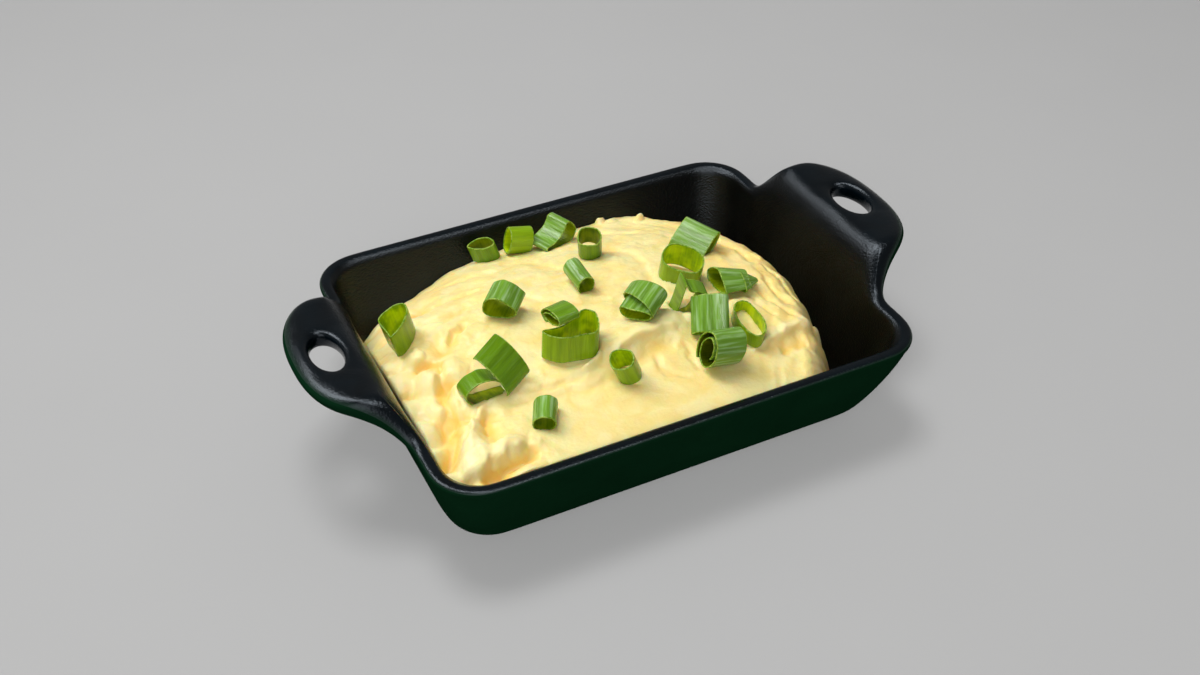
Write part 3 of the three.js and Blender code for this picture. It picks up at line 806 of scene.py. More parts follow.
def leaf_profile(length):
    """Rows round the leaf's wall: place along the tube, share of the thickness, face."""
    end = length / 2
    run = np.linspace(end - CUT_ROUND, CUT_ROUND - end, LEAF_ROWS + 1)
    turn = np.radians(np.linspace(0, 180, CUT_ROWS + 2)[1:-1])
    along = np.concatenate((run, -end + CUT_ROUND * (1 - np.sin(turn)),
                            run[::-1], end - CUT_ROUND * (1 - np.sin(turn)), run[:1]))
    depth = np.concatenate((run * 0, (1 - np.cos(turn)) / 2, run * 0 + 1, (1 + np.cos(turn)) / 2, [0]))
    return along, depth


def leaf_path(piece, chance):
    """The skin's outline across a leaf, in order, and how far round each point is."""
    if "section" in piece:
        closed = not piece.get("open", False)
        line = catmull(piece["section"], closed=closed)
        travelled = np.concatenate(([0.0], np.cumsum(np.linalg.norm(np.diff(line, axis=0), axis=1))))
        part = np.linspace(0.0, 1.0, LEAF_COLUMNS + 1)
        points = [np.interp(part * travelled[-1], travelled, line[:, axis]) for axis in (0, 1)]
        return np.stack(points, axis=1), 2 * math.pi * part
    sweep = piece.get("sweep", 360)
    columns = round(LEAF_COLUMNS * sweep / 360)
    part = np.linspace(0.0, 1.0, columns + 1)
    angle = np.radians(piece.get("start", 0) + sweep * part)
    inset = piece.get("pitch", 0.0) * (1 - part) * sweep / 360
    waves = sum(
        chance.uniform(-1, 1) * WOBBLE / order * np.cos(order * angle + chance.uniform(0, PHASES))
        for order in WOBBLE_ORDERS)
    narrow = np.sign(np.sin(angle)) * np.abs(np.sin(angle)) ** piece.get("pinch", 1.0)
    x = (piece["wide"] - inset) * np.cos(angle) * (1 + waves)
    y = (piece["deep"] - inset) * narrow * (1 + waves)
    y = y - piece.get("dent", 0.0) * np.where(np.sin(angle) > 0, np.sin(angle) ** 2, 0.0)
    return np.stack((x, y), axis=1), angle


def is_round(piece):
    """Whether a leaf's outline closes on itself."""
    return not piece.get("open", False) and piece.get("sweep", 360) == 360


def outward(path, closed):
    """Unit normals of an outline, away from its inside."""
    if closed:
        padded = np.concatenate((path[-2:-1], path, path[1:2]))
    else:
        padded = np.concatenate((2 * path[:1] - path[1:2], path, 2 * path[-1:] - path[-2:-1]))
    along = padded[2:] - padded[:-2]
    along = along / np.linalg.norm(along, axis=1)[:, None]
    turn = np.sum(path[:-1, 0] * path[1:, 1] - path[1:, 0] * path[:-1, 1])
    return np.stack((along[:, 1], -along[:, 0]), axis=1) * np.sign(turn)


def leaf_points(piece, sizes, chance):
    """Vertices of a cut leaf by row and column, in its own frame."""
    path, angle = leaf_path(piece, chance)
    normal = outward(path, is_round(piece))
    along, depth = leaf_profile(piece["length"])
    along, depth = along[:, None], depth[:, None]
    ribs = mm(sizes.ribs) * np.abs(np.cos(RIBS * angle + chance.uniform(0, 3)))
    inset = depth * mm(sizes.leaf) + ribs * (1 - depth)
    near = along / piece["length"] + 0.5
    spread = 1 + chance.uniform(-FLARE, FLARE) * (near - 0.5) + piece.get("taper", 0.0) * (1 - near)
    shift, slope_x, slope_y = piece.get("slant", (0.0, 0.0, 0.0))
    x = (path[:, 0] - inset * normal[:, 0]) * spread
    y = (path[:, 1] - inset * normal[:, 1]) * spread
    ragged = sum(
        chance.uniform(-RAGGED, RAGGED) * np.cos(order * angle + chance.uniform(0, PHASES))
        for order in RAGGED_ORDERS)
    z = along * (1 + ragged / piece["length"]) + near * (shift + slope_x * x + slope_y * y)
    return np.stack((x, y, z), axis=2) + piece.get("shift", (0.0, 0.0, 0.0))


def leaf_frame(piece):
    """Turns and moves a leaf from its own frame to its place on the heap."""
    turn = Matrix.Rotation(math.radians(piece["turn"] + 90), 4, "Z")
    tilt = Matrix.Rotation(math.radians(90 - piece["tilt"]), 4, "Y")
    heading = Matrix.Rotation(math.radians(piece["heading"]), 4, "Z")
    return Matrix.Translation(Vector(piece["at"]) * MM) @ heading @ tilt @ turn


def map_leaf(table, points, layer):
    """Unrolls a leaf in millimetres, and gives each band of its faces a finish."""
    spots = {
        vertex: (row, column) for row, line in enumerate(table) for column, vertex in enumerate(line)}
    round_it = np.concatenate(([0.0], np.cumsum(np.linalg.norm(np.diff(points[0], axis=0), axis=1))))
    inner_start = LEAF_ROWS + CUT_ROWS + 1
    inner_end = inner_start + LEAF_ROWS
    for face in {face for line in table for vertex in line for face in vertex.link_faces}:
        row = min(spots[loop.vert][0] for loop in face.loops)
        face.material_index = 0 if row < LEAF_ROWS else 1 if inner_start <= row < inner_end else 2
        for loop in face.loops:
            place_row, column = spots[loop.vert]
            loop[layer].uv = (round_it[column], points[place_row, column, 2])


class POTATO_OT_onions(bpy.types.Operator):
    """Cut the spring onion and scatter its pieces over the heap"""

    bl_idname = "potato.onions"
    bl_label = "Spring onion"

    def execute(self, context):
        sizes = context.scene.potato_onion
        skins = {name: skin_finish(name, sizes) for name in BLOOM_SHARE}
        insides = {name: pith_finish(name, sizes) for name in PITH_SHARE}
        cut = cut_finish(sizes)
        for number, piece in enumerate(ONIONS, start=1):
            mesh = bmesh.new()
            layer = mesh.loops.layers.uv.new("leaf")
            chance = np.random.default_rng(number)
            for extra in ({}, *piece.get("layers", ())):
                self.add_leaf(mesh, {**piece, **extra}, sizes, chance, layer)
            bmesh.ops.holes_fill(mesh, edges=[edge for edge in mesh.edges if edge.is_boundary])
            bmesh.ops.transform(mesh, matrix=leaf_frame(piece), verts=mesh.verts[:])
            skin = piece["skin"]
            finishes = [skins[skin], insides[piece.get("inside", skin)], cut]
            make_piece(f"leaf_{number:02d}", mesh, finishes, [f"onion_{number:02d}"], levels=1)
        return {"FINISHED"}

    def add_leaf(self, mesh, piece, sizes, chance, layer):
        points = leaf_points(piece, sizes, chance)
        table = grid_table(mesh, points.shape[1] - 1, points.shape[0] - 1)
        place(table, points)
        map_leaf(table, points, layer)
        bmesh.ops.weld_verts(mesh, targetmap=dict(zip(table[-1], table[0])))
        if is_round(piece):
            bmesh.ops.weld_verts(mesh, targetmap={row[-1]: row[0] for row in table[:-1]})


# ---------------------------------------------------------------- mashed potato

WALL_GAP = 0.42                  # room between heap and walls
FLOOR_GAP = 0.3
FOOT_BOW = 4.1                   # how far the foot stays back at its span from its middle
FOOT_SPAN = 25
FOOT_MIDDLE = -4.0               # where across the dish the foot reaches furthest
FOOT_SOFT = 11.5                 # length over which that end rounds up
FOOT_RAGGED = 0.8                # raggedness of its foot line
FOOT_NOTCH = 1.8                 # how far the foot stays back below the lip
FOOT_NOTCH_PLACE = -31.0
FOOT_NOTCH_WIDTH = 5.0
DOME_X = (-2, 68)                # middle and half length of the dome
DOME_Y = (1, 54)                 # middle and half width of it
FAR_SHORE = 55                   # distance from the middle where the far height is reached
LEFT_DROP = 2.8                  # how much lower the heap lies along the left wall
LEFT_EDGE = (-54, -64)           # where that drop begins and is whole
FOOT_KEEP = 0.06                 # how far inside its foot line the heap is closed
CORNER = 70.0                    # foot of the heap in the far left corner
CORNER_WAY = (-0.62, 0.78)       # way to that corner
CORNER_SOFT = 30.0
CREST = ((-20, -27), (0, -22), (18, -18), (33, -26), (47, -31))
CREST_HEIGHT = 2.2
CREST_WIDTH = 6.0
CREST_START = 0.25               # share of its length over which the crest rises
HEAP_COLUMNS = 300               # facets along and across the heap
HEAP_ROWS = 240
FOOT_COLUMNS = 60                # facets in the rounded end, of the columns
LEFT_REACH = 60                  # rough distance from the middle to the left wall
SKIRT_ROWS = 4                   # facets down the heap's hidden sides
WALL_SHARE = 0.8                 # share of the rim's height at which the left wall is measured
HALVINGS = 26                    # rounds that narrow down where the heap meets the wall
BED = 0.05                       # room below a piece of onion, and least height of the heap
FULL_RELIEF = 6                  # height over the dish's floor where the relief is whole
WANDER = 0.9                     # how far the spoon marks wander from their lines
MARK_END = 0.15                  # share of a mark over which either end fades
END_STREAKS = (28, 40)           # where the right end's streaks begin and are whole
SMOOTH_X = (-42, -28)            # where the slope that the spoon smoothed begins and is whole
SMOOTH_Y = (-24, -34)
LUMP_FULL = 0.7                  # power that gives a lump its fullness

# Marks of the spoon: a line of x and y, the rise along it, and how far that spreads to
# the left of the line and to its right
MARKS = (
    # crest across the middle, its hollow, and the lip at the right end
    (((-14, -27.6), (-8.3, -25.6), (-3.8, -24.2), (0.5, -23.8), (5.9, -23.6), (13.2, -24)), 1.7,
     (4.5, 1.0)),
    (((-11, -29.6), (-4, -28.2), (2, -27.2), (8, -27.4)), -0.9, (1.6, 3.0)),
    (((24, -38), (31.3, -36), (37.9, -35.4), (42.7, -34.6), (47.5, -33.4)), 1.9, (3.0, 0.9)),
    (((31, -40.5), (36, -39.4), (41, -40)), -1.2, (1.8, 2.6)),
    # streaks down the right end
    (((39.4, -13.3), (39.7, -22.8), (40.3, -28), (42.4, -31.6)), -0.9, (0.8, 0.8)),
    (((35.6, -16), (34.9, -24.9), (36.7, -31)), -0.7, (0.8, 0.8)),
    (((44.6, -10), (43.9, -18), (44.6, -27)), -0.9, (0.8, 0.8)),
    (((47.5, -3), (48.5, -14), (48, -25)), -0.8, (0.9, 0.9)),
    (((42, 16), (44.5, 6), (46, -3)), -0.8, (0.9, 0.9)),
    (((30, 24), (37, 13), (41, 2)), -0.6, (1.1, 1.1)),
    # scoops in the smooth slope
    (((8.6, -28.8), (7.9, -32.3), (7.4, -36.3), (8.6, -39)), -0.6, (1.2, 0.8)),
    (((-0.2, -29.2), (-1.1, -32.8), (0.4, -37.5), (5, -40)), -0.6, (1.2, 0.8)),
    (((-46, -27.4), (-36, -29.1), (-28, -31.3), (-19, -32.3), (-8, -30.5)), -0.9, (1.2, 2.4)),
    (((-39, -26.2), (-27.8, -28), (-20.2, -28), (-13, -26.4)), -0.9, (1.0, 1.2)),
    (((-21, -27.4), (-17.4, -26), (-13.6, -23)), 1.6, (0.8, 1.2)),
    # crevices at the left
    (((-47.4, -0.7), (-45.9, 1.7), (-43.6, 4.4), (-39.5, 6.5)), -1.3, (0.8, 1.4)),
    (((-59.7, -2.8), (-55.6, -3.4), (-53.1, -5.6), (-52.6, -9.4)), -1.8, (1.2, 1.2)),
    (((-52.6, -8.6), (-54.4, -15.6), (-57, -24.7), (-58.3, -32), (-60.9, -36.1), (-63.5, -38.4),
     (-67, -40.8)), -2.3, (1.2, 2.2)),
    # curled lobe in the near left corner
    (((-47.7, -26.3), (-51.5, -28.9), (-54.8, -34.1), (-57.9, -37.7), (-60.2, -41), (-60.4, -44.3),
     (-58.3, -46.4), (-56.1, -46), (-54.3, -44.2), (-50.5, -45), (-46.5, -44.2), (-41, -44.4)), 2.6,
     (5.2, 0.75)),
    (((-48.4, -28.4), (-50.4, -32.1), (-51.6, -36)), -1.4, (2.2, 1.0)),
    (((-58, -48.2), (-50, -47.2), (-42, -46.6)), -1.9, (1.0, 1.8)),
    # long soft strokes over the top
    (((-54, 26), (-44.5, 22.7), (-36.6, 23.5), (-28, 20)), -0.9, (1.0, 2.2)),
    (((-50, 14), (-42, 13.4), (-34, 16)), -0.8, (1.0, 1.8)),
    (((-42, 38), (-30, 34.5), (-20, 29)), -0.7, (1.2, 2.4)),
    (((-23, 12), (-14.7, 1), (-4, -3.5), (3.7, -9)), -0.7, (1.2, 2.6)),
    (((11.8, 26), (15.5, 14), (14.4, 2), (10, -8)), -0.7, (1.2, 2.6)),
    (((-10, 32), (-7.6, 22), (-3, 14)), -0.6, (1.0, 2.4)),
    (((14, 44), (20, 35), (27, 30)), -0.7, (1.0, 2.0)),
)

# Lumps of potato: place, half sizes and rise
LUMPS = (
    (-61.5, 16, 4.6, 6.5, 1.4), (-63.5, 6, 4.4, 5.6, 2.0), (-64.3, -5, 4.2, 5.6, 2.2),
    (-64.8, -15.5, 4.4, 6.0, 2.4), (-64.6, -26, 4.4, 6.0, 2.8), (-66, -34.5, 4.2, 4.6, 2.4),
    (-57.4, 0.8, 3.4, 3.6, 1.3), (-58, -10.6, 4.0, 5.6, 1.6), (-60, -20, 3.2, 4.6, 1.2),
    (-64, -44.6, 3.4, 3.4, 1.8), (-49.4, -9.5, 3.8, 5.0, 0.9), (-50.2, -18.6, 3.4, 5.4, 1.0),
    (-55.8, -38.6, 2.6, 4.4, 0.8), (-45, -36.6, 5.4, 4.8, 0.8), (-47.2, -42, 4.2, 2.6, 1.0),
    (-40, 2, 5.0, 3.2, 0.7), (-48, 8.4, 4.0, 4.0, 0.9), (-52.6, 18, 4.4, 3.4, 0.8),
    (21.6, 49.2, 1.3, 1.3, 1.9), (24.8, 46.6, 2.4, 1.3, 0.9), (31.6, 41.6, 1.5, 1.3, 2.0),
    (39.6, 18, 1.7, 1.6, 1.0), (48.2, -34.4, 2.5, 1.4, 2.7), (48.5, -1, 1.4, 2.2, 0.9),
    (20, -22, 3.2, 1.8, 1.4), (14.6, -22.6, 2.2, 1.6, 1.2), (29, -21.5, 3.0, 2.0, 1.0),
)


def along_line(x, y, line):
    """Distance to a line, left of it as positive, and how far along it, 0 to 1."""
    nearest = np.full(x.shape, np.inf)
    along = np.zeros(x.shape)
    left = np.zeros(x.shape)
    for order, (start, end) in enumerate(zip(line, line[1:])):
        dx, dy = end[0] - start[0], end[1] - start[1]
        across, down = x - start[0], y - start[1]
        t = np.clip((across * dx + down * dy) / (dx * dx + dy * dy), 0.0, 1.0)
        distance = np.hypot(across - t * dx, down - t * dy)
        closer = distance < nearest
        nearest = np.where(closer, distance, nearest)
        along = np.where(closer, (order + t) / (len(line) - 1), along)
        left = np.where(closer, dx * down - dy * across, left)
    return np.where(left >= 0, nearest, -nearest), along


CELLS = 128                      # cells of random relief along each way before they repeat
CELL_SHIFT = 300                 # keeps the places in whole cells above 0
SWELL_HEIGHT = 1.6
BILLOW_MIDDLE = 0.25             # brings the billows' average to 0


def cells(x, y, size):
    """Places in cells of a size, and the cell that each is in."""
    u, v = x / size + CELL_SHIFT, y / size + CELL_SHIFT
    return u, v, np.floor(u).astype(int), np.floor(v).astype(int)


def swell(x, y, size, seed):
    """Smooth random relief of about -1 to 1, with swells of a size in millimetres."""
    table = np.random.default_rng(seed).uniform(0, 2 * math.pi, (CELLS, CELLS))
    u, v, i, j = cells(x, y, size)
    fu, fv = u - i, v - j

    def slope(di, dj):
        angle = table[(i + di) % CELLS, (j + dj) % CELLS]
        return np.cos(angle) * (fu - di) + np.sin(angle) * (fv - dj)

    su, sv = (f**3 * (f * (6 * f - 15) + 10) for f in (fu, fv))
    low = mix(slope(0, 0), slope(1, 0), su)
    high = mix(slope(0, 1), slope(1, 1), su)
    return SWELL_HEIGHT * mix(low, high, sv)


def swells(x, y, *rows):
    """Swells on one another, given by height, size and seed."""
    return sum(height * swell(x, y, size, seed) for height, size, seed in rows)


CREASE = 14.0                    # sharpness of the creases between curds
CURD_BEND = 1.2                  # how far the curds are bent out of line
CURD_TURN = 24                   # way in which they run, in degrees
CURD_LENGTH = 1.2                # how much longer than wide the large ones are
LEFT_CURDS = (-36, -52)          # where the deep curds of the left end begin and are whole


def billows(x, y, size, seed):
    """Rounded lumps of about a size in millimetres that meet in creases, 0 on average."""
    table = np.random.default_rng(seed).uniform(0, 1, (2, CELLS, CELLS))
    u, v, i, j = cells(x, y, size)
    total = np.zeros(x.shape)
    for di in (-1, 0, 1):
        for dj in (-1, 0, 1):
            spot = table[:, (i + di) % CELLS, (j + dj) % CELLS]
            total = total + np.exp(-CREASE * ((i + di + spot[0] - u) ** 2 + (j + dj + spot[1] - v) ** 2))
    return np.log(total) / CREASE + BILLOW_MIDDLE


def turned(x, y, degrees):
    angle = math.radians(degrees)
    return x * math.cos(angle) + y * math.sin(angle), y * math.cos(angle) - x * math.sin(angle)


def shoulder(distance, soft):
    """Quarter-round shoulder: 0 at the foot, 1 once past the soft length."""
    u = 1 - np.clip(distance / soft, 0.0, 1.0)
    return np.sqrt(1 - u * u)


class Heap:
    """The heap's height over the dish, from its settings, in millimetres."""

    def __init__(self, settings, dish):
        self.settings = settings
        self.dish = dish
        self.shores = (mm(settings.shore_near), mm(settings.shore_far))
        self.foot = mm(settings.foot)

    def smooth_height(self, x, y):
        dome = 1.0
        for place, middle, half in ((x, *DOME_X), (y, *DOME_Y)):
            dome = dome * np.maximum(0, 1 - ((place - middle) / half) ** 2)
        plateau = mix(*self.shores, smoothstep(0, FAR_SHORE, y)) + mm(self.settings.crown) * dome
        distance, along = along_line(x, y, CREST)
        crest = CREST_HEIGHT * smoothstep(0, CREST_START, along)
        plateau = plateau + crest * np.exp(-((distance / CREST_WIDTH) ** 2))
        plateau = plateau - LEFT_DROP * smoothstep(*LEFT_EDGE, x)
        end = shoulder(self.foot - self.lag(y) - x, FOOT_SOFT)
        corner = shoulder(CORNER - (CORNER_WAY[0] * x + CORNER_WAY[1] * y), CORNER_SOFT)
        return FLOOR + (plateau - FLOOR) * end * corner

    def lag(self, y):
        """How far the foot of the heap stays back from its furthest reach."""
        ragged = swells(y, 0 * y, (1.0, 4.5, 31), (0.5, 1.7, 32))
        notch = FOOT_NOTCH * np.exp(-(((y - FOOT_NOTCH_PLACE) / FOOT_NOTCH_WIDTH) ** 2))
        return FOOT_BOW * ((y - FOOT_MIDDLE) / FOOT_SPAN) ** 2 + FOOT_RAGGED * ragged + notch

    def marks(self, x, y):
        """Grooves and ridges along the lines of the spoon."""
        total = np.zeros(x.shape)
        for line, rise, spreads in MARKS:
            distance, along = along_line(x, y, catmull(line))
            ends = smoothstep(0, MARK_END, along) * (1 - smoothstep(1 - MARK_END, 1, along))
            spread = np.where(distance > 0, *spreads)
            total = total + rise * (0.15 + 0.85 * ends) * np.exp(-((distance / spread) ** 2))
        return total

    def lumps(self, x, y):
        """Rounded lumps that meet in creases."""
        highest = np.zeros(x.shape)
        for at_x, at_y, half_x, half_y, rise in LUMPS:
            reach = ((x - at_x) / half_x) ** 2 + ((y - at_y) / half_y) ** 2
            highest = np.maximum(highest, rise * np.clip(1 - reach, 0, 1) ** LUMP_FULL)
        return highest

    def swirls(self, x, y):
        """Soft folds left by the spoon, and creases between them."""
        bend_x = x + CURD_BEND * swell(x, y, 9, 11)
        bend_y = y + CURD_BEND * swell(x, y, 9, 12)
        u, v = turned(bend_x, bend_y, CURD_TURN)
        left = smoothstep(*LEFT_CURDS, x)
        large = (0.5 + 3.4 * left) * billows(u / CURD_LENGTH, v, 8.5, 13)
        small = (0.1 + 0.5 * left) * billows(u, v, 4.0, 18)
        return swells(x, y, (0.6, 15, 14), (0.4, 7.5, 15), (0.15, 3.6, 20)) + (large + small)

    def streaks(self, x, y):
        """Ridges that run down the right end along its foot."""
        bowed = x + self.lag(y)
        broad = 0.3 * swell(bowed, y / 6, 3.0, 33)
        fine = 0.1 * swell(bowed, y / 4, 1.5, 34)
        return smoothstep(*END_STREAKS, bowed) * (broad + fine)

    def grains(self, x, y):
        return swells(x, y, (0.12, 2.3, 16), (0.07, 1.2, 17)) * self.settings.graininess

    def roughness(self, x, y):
        """Where the surface is rough: all but the slope that the spoon smoothed."""
        return 1 - 0.75 * smoothstep(*SMOOTH_Y, y) * smoothstep(*SMOOTH_X, x)

    def relief(self, x, y):
        """All that stands out from the smooth heap."""
        wander_x = x + WANDER * swell(x, y, 3.4, 21)
        wander_y = y + WANDER * swell(x, y, 3.4, 22)
        spooned = self.marks(wander_x, wander_y) + self.lumps(wander_x, wander_y) + self.streaks(x, y)
        rough = self.roughness(x, y)
        return (spooned + rough * self.swirls(x, y)) * self.settings.relief + rough * self.grains(x, y)

    def height(self, x, y):
        smooth = self.smooth_height(x, y)
        relief = self.relief(x, y) * np.clip((smooth - FLOOR) / FULL_RELIEF, 0, 1)
        return np.maximum(smooth + relief, FLOOR + FLOOR_GAP + BED)

    def cavity(self, height):
        share = np.clip(1 - (height - FLOOR - FLOOR_GAP) / FILLET_HEIGHT, 0.0, 1.0)
        pull = fillet_pull(share) + FLOOR_GAP * (share > 0)
        return self.dish.outline(height, self.dish.wall + WALL_GAP, pull)


class Rim:
    """Border points of the heap on the cavity's walls, as weights of its outline."""

    def __init__(self, x0, length, x_radius, width, y_radius):
        parts = np.broadcast_arrays(x0, length, x_radius, width, y_radius)
        self.parts = [np.asarray(part, float) for part in parts]

    def at(self, outline):
        x0, length, x_radius, width, y_radius = self.parts
        half_length, half_width, radius = outline
        return x0 + length * half_length + x_radius * radius, width * half_width + y_radius * radius


def corner_rim(angles, side):
    """Rim points on a left corner, near (side -1) or far (side 1)."""
    return Rim(0, -1, 1 - np.cos(angles), side, side * (np.sin(angles) - 1))


def join_rims(*rims):
    joined = Rim(0, 0, 0, 0, 0)
    joined.parts = [np.concatenate(parts) for parts in zip(*(rim.parts for rim in rims))]
    return joined


def settle(heap, rim):
    """Height at which the heap meets the wall at each rim point."""
    low = np.full(rim.parts[0].shape, FLOOR + FLOOR_GAP)
    high = np.full(low.shape, RIM_HEIGHT + 2)
    for _ in range(HALVINGS):
        middle = (low + high) / 2
        above = heap.height(*rim.at(heap.cavity(middle))) > middle
        low = np.where(above, middle, low)
        high = np.where(above, high, middle)
    return (low + high) / 2


def column_shares(heap):
    """Places of the heap's columns, 0 at the left wall and 1 at its rounded foot."""
    soft = FOOT_SOFT / (heap.foot + LEFT_REACH)
    plain = np.linspace(0, 1 - soft, HEAP_COLUMNS - FOOT_COLUMNS, endpoint=False)
    turn = np.linspace(math.pi / 2, 0, FOOT_COLUMNS + 1)
    return np.concatenate((plain, 1 - soft * (1 - np.cos(turn))))


def side_rim(heap, shares, side):
    """Rim along a long wall, from the middle of the left corner to the foot."""
    half_length, half_width, radius = heap.cavity(FLOOR + FLOOR_GAP)
    foot = heap.foot - heap.lag(side * half_width) - FOOT_KEEP
    arc = radius * math.pi / 4 / (foot + half_length)
    bent = shares < arc
    angles = math.pi / 4 * (1 + shares[bent] / arc)
    along = (shares[~bent] - arc) / (1 - arc)
    straight = Rim(along * foot, along - 1, 1 - along, side, 0)
    return join_rims(corner_rim(angles, side), straight)


def end_rim(heap, shares):
    """Rim along the left wall, from the middle of one corner to the other."""
    _, half_width, radius = heap.cavity(RIM_HEIGHT * WALL_SHARE)
    arc = radius * math.pi / 4 / (2 * half_width)
    near = shares < arc
    far = shares > 1 - arc
    between = ~near & ~far
    near_turn = math.pi / 4 * (1 - shares[near] / arc)
    far_turn = math.pi / 4 * (1 - (1 - shares[far]) / arc)
    across = 2 * (shares[between] - arc) / (1 - 2 * arc) - 1
    wall = Rim(0, -1, 0, across, -across)
    return join_rims(corner_rim(near_turn, -1), wall, corner_rim(far_turn, 1))


def border(heap, rim):
    """Plan and height of rim points where the heap's surface meets the wall."""
    height = settle(heap, rim)
    x, y = rim.at(heap.cavity(height))
    return np.stack((x, y), axis=1), height


def patch(near, far, left, foot, u, v):
    """Fills the space between four border curves with a table of plan points."""
    u, v = u[None, :, None], v[:, None, None]
    sides = (1 - v) * near[None] + v * far[None] + (1 - u) * left[:, None] + u * foot[:, None]
    corners = ((1 - v) * (1 - u) * near[0] + (1 - v) * u * near[-1]
               + v * (1 - u) * far[0] + v * u * far[-1])
    return sides - corners


def onion_beds(plan, heights):
    """Lowers the heap under each piece of onion."""
    depsgraph = bpy.context.evaluated_depsgraph_get()
    x, y = plan[..., 0], plan[..., 1]
    for number in range(1, len(ONIONS) + 1):
        piece = bpy.data.objects[f"leaf_{number:02d}"]
        tree = BVHTree.FromObject(piece, depsgraph)
        spots = np.array([vertex.co for vertex in piece.data.vertices]) / MM
        low, high = spots.min(axis=0), spots.max(axis=0)
        inside = (x > low[0]) & (x < high[0]) & (y > low[1]) & (y < high[1])
        for row, column in np.argwhere(inside):
            origin = Vector((x[row, column], y[row, column], 0.0)) * MM
            hit = tree.ray_cast(origin, Vector((0, 0, 1)))[0]
            if hit:
                heights[row, column] = min(heights[row, column], hit.z / MM - BED)
    return heights


BROAD = 260                      # rounds of blurring that leave only the heap's broad shape
FINE = 3                         # rounds that soften the painted shade of hollows and the painted highlight of peaks
END_SHADE = 0.32                # how much painted amber shade darkens the right end
END_TINT = (30, 52)              # where that tint begins and is whole
HOLLOWS = (0.12, 0.65, 0.9)      # depth where the painted amber shade begins, its share per millimetre, its most
PEAKS = (0.3, 0.35, 0.5)         # the same for the painted pale highlight on the peaks, above the broad shape


def blur(values, times):
    """Evens out a table of values with its neighbours."""
    for _ in range(times):
        padded = np.pad(values, 1, mode="edge")
        values = (padded[:-2, 1:-1] + padded[2:, 1:-1] + padded[1:-1, :-2] + padded[1:-1, 2:]) / 4
    return values


def tint(relief, start, gain, most, always=0.0):
    """Share of a tint where the relief is past a start."""
    return np.minimum(most, np.maximum(0.0, relief - start) * gain + always)


class POTATO_OT_heap(bpy.types.Operator):
    """Spoon the mashed potato into the dish, under the spring onion"""

    bl_idname = "potato.heap"
    bl_label = "Mashed potato"

    def execute(self, context):
        settings = context.scene.potato_heap
        heap = Heap(settings, Dish(context.scene.potato_dish))
        u = column_shares(heap)
        v = np.linspace(0, 1, HEAP_ROWS + 1)
        rims = [side_rim(heap, u, -1), side_rim(heap, u, 1), end_rim(heap, v)]
        (near, near_z), (far, far_z), (left, left_z) = (border(heap, rim) for rim in rims)
        foot_y = mix(near[-1, 1], far[-1, 1], v)
        foot = np.stack((heap.foot - heap.lag(foot_y) - FOOT_KEEP, foot_y), axis=1)
        foot[0], foot[-1] = near[-1], far[-1]
        plan = patch(near, far, left, foot, u, v)
        heights = heap.height(plan[..., 0], plan[..., 1])
        heights[0], heights[-1], heights[:, 0] = near_z, far_z, left_z
        relief = heap.relief(plan[..., 0], plan[..., 1])
        relief = blur(relief - blur(relief, BROAD), FINE)
        heights = onion_beds(plan, heights)
        mesh, table = sheet(HEAP_COLUMNS, HEAP_ROWS, "hollow", "peak")
        place(table, np.concatenate((plan, heights[..., None]), axis=2))
        # Painted shade: the right end is tinted darker amber in place of its shade
        butter = END_SHADE * smoothstep(*END_TINT, plan[..., 0])
        # Painted shade: amber where the relief is hollow, added to the right end's painted shade
        shade(table, mesh.verts.layers.float["hollow"], tint(-relief, *HOLLOWS, butter))
        # Painted highlight: pale colour where the relief stands above its broad shape
        shade(table, mesh.verts.layers.float["peak"], tint(relief, *PEAKS))
        self.add_skirt(mesh, heap)
        make_piece("potato_heap", mesh, [potato_finish(settings)], ["mash"])
        return {"FINISHED"}

    def add_skirt(self, mesh, heap):
        """Takes the heap's border down along the walls to the floor, and closes it."""
        edges = [edge for edge in mesh.edges if edge.is_boundary]
        levels = {}
        for step in range(1, SKIRT_ROWS + 1):
            made = bmesh.ops.extrude_edge_only(mesh, edges=edges)["geom"]
            edges = [item for item in made if isinstance(item, bmesh.types.BMEdge) and item.is_boundary]
            left = SKIRT_ROWS - step
            for vertex in {vertex for edge in edges for vertex in edge.verts}:
                bottom = FLOOR + FLOOR_GAP
                height = vertex.co.z / MM
                lower = bottom + (height - bottom) * left / (left + 1)
                before, after = heap.cavity(height), heap.cavity(lower)
                vertex.co.x *= after[0] / before[0] if vertex.co.x < 0 else 1.0
                vertex.co.y *= after[1] / before[1]
                vertex.co.z = lower * MM
        bmesh.ops.holes_fill(mesh, edges=[edge for edge in mesh.edges if edge.is_boundary])


# ---------------------------------------------------------------- stage

CAMERA_PLACE = (-140.674, -287.700, 266.652)
CAMERA_TURN = (52.3389, 0.6581, -26.1679)
CAMERA_LENS = 42.493             # on a 36 mm sensor
FLOOR_SIZE = 4.0                 # metres
FLOOR_DROP = 0.2                 # below the dish, in millimetres
SKY_COLOUR = (1.0, 0.99, 0.97, 1.0)
KEY_PLACE = (-0.10, 0.12, 1.05)

# Size and place of each light, in metres
LIGHTS = {
    "key": (0.34, KEY_PLACE), "fill": (0.9, (-0.65, -0.95, 0.62)), "glint": (0.4, (0.05, -0.4, 0.95)),
    "food": (0.5, (-0.40, 0.42, 0.80)), "veil": (0.6, KEY_PLACE),
}


def add_light(name, power, size, spot):
    """A square soft light that points at the dish."""
    data = bpy.data.lights.new(name, "AREA")
    data.energy = power
    data.size = size
    light = bpy.data.objects.new(name, data)
    light.location = spot
    light.rotation_euler = Vector(spot).to_track_quat("Z", "Y").to_euler()
    bpy.context.scene.collection.objects.link(light)
    return light


def keep_light(light, floor, state):
    """Keeps a light to the floor alone (INCLUDE), or off it (EXCLUDE)."""
    reach = bpy.data.collections.new(f"{light.name}_reach")
    reach.objects.link(floor)
    light.light_linking.receiver_collection = reach
    reach.collection_objects[0].light_linking.link_state = state


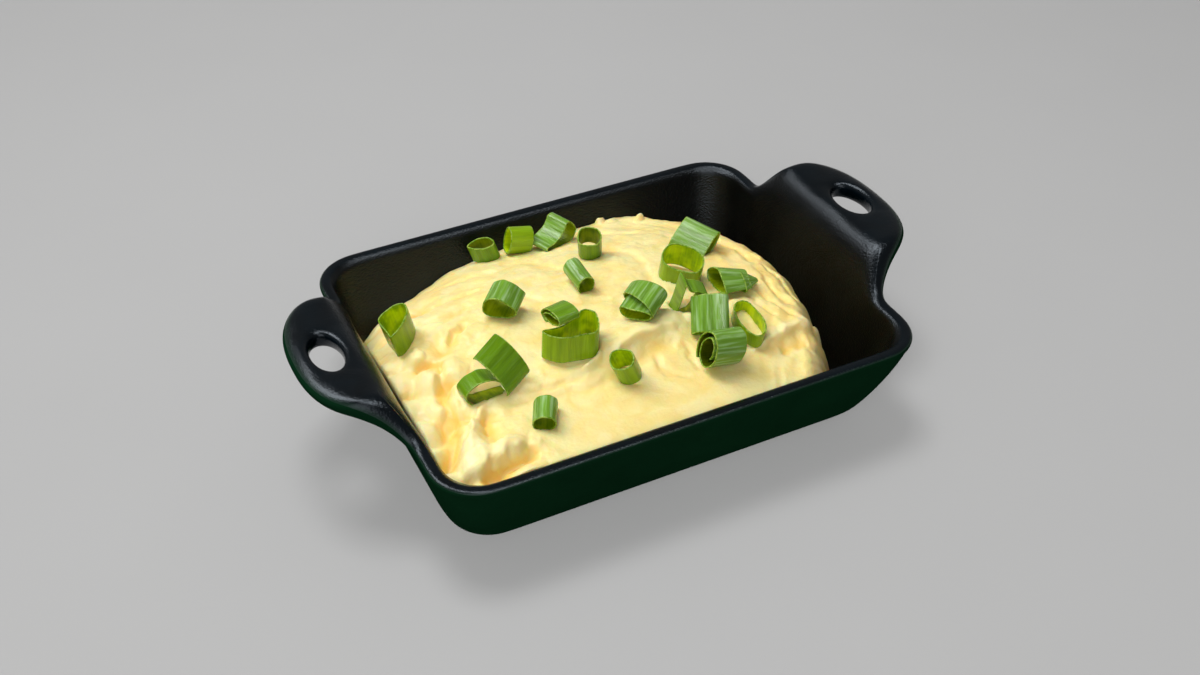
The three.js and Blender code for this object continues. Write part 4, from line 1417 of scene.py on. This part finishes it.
class POTATO_OT_stage(bpy.types.Operator):
    """Set the floor, the soft lights and the camera"""

    bl_idname = "potato.stage"
    bl_label = "Stage"

    def execute(self, context):
        scene = context.scene
        settings = scene.potato_stage
        mesh = bmesh.new()
        drop = Matrix.Translation((0, 0, -FLOOR_DROP * MM))
        bmesh.ops.create_grid(mesh, x_segments=1, y_segments=1, size=FLOOR_SIZE / 2, matrix=drop)
        data = bpy.data.meshes.new("studio_floor")
        mesh.to_mesh(data)
        mesh.free()
        data.materials.append(floor_finish(settings))
        floor = bpy.data.objects.new("studio_floor", data)
        scene.collection.objects.link(floor)

        world = bpy.data.worlds.new("studio_sky")
        world.use_nodes = True
        background = world.node_tree.nodes["Background"]
        background.inputs["Color"].default_value = SKY_COLOUR
        background.inputs["Strength"].default_value = settings.sky
        scene.world = world
        lights = {
            name: add_light(f"{name}_light", getattr(settings, name), size, spot)
            for name, (size, spot) in LIGHTS.items()}
        lights["glint"].visible_diffuse = False
        lights["veil"].data.use_shadow = False
        keep_light(lights["food"], floor, "EXCLUDE")
        keep_light(lights["veil"], floor, "INCLUDE")
        scene.view_settings.view_transform = "Standard"

        data = bpy.data.cameras.new("camera")
        data.sensor_width = 36.0
        data.lens = CAMERA_LENS
        camera = bpy.data.objects.new("camera", data)
        camera.location = Vector(CAMERA_PLACE) * MM
        camera.rotation_euler = Euler([math.radians(angle) for angle in CAMERA_TURN])
        scene.collection.objects.link(camera)
        scene.camera = camera
        return {"FINISHED"}


# ---------------------------------------------------------------- panel and running

STEPS = (POTATO_OT_stage, POTATO_OT_dish, POTATO_OT_onions, POTATO_OT_heap)
SETTINGS = {"potato_stage": StageSettings, "potato_dish": DishSettings,
            "potato_onion": OnionSettings, "potato_heap": HeapSettings}


class POTATO_PT_panel(bpy.types.Panel):
    """Steps and settings of the mashed potato side"""

    bl_idname = "POTATO_PT_panel"
    bl_label = "Mashed potato side"
    bl_space_type = "VIEW_3D"
    bl_region_type = "UI"
    bl_category = "Potato side"

    def draw(self, context):
        for step, name in zip(STEPS, SETTINGS):
            box = self.layout.box()
            box.operator(step.bl_idname)
            settings = getattr(context.scene, name)
            for prop in settings.bl_rna.properties:
                if prop.identifier not in ("rna_type", "name"):
                    box.prop(settings, prop.identifier)


def register():
    for kind in (*SETTINGS.values(), *STEPS, POTATO_PT_panel):
        bpy.utils.register_class(kind)
    for name, kind in SETTINGS.items():
        setattr(bpy.types.Scene, name, bpy.props.PointerProperty(type=kind))


def unregister():
    for name in SETTINGS:
        delattr(bpy.types.Scene, name)
    for kind in (POTATO_PT_panel, *reversed(STEPS), *SETTINGS.values()):
        bpy.utils.unregister_class(kind)


def main():
    register()
    bpy.ops.potato.stage()
    bpy.ops.potato.dish()
    bpy.ops.potato.onions()
    bpy.ops.potato.heap()


if __name__ == "__main__":
    main()
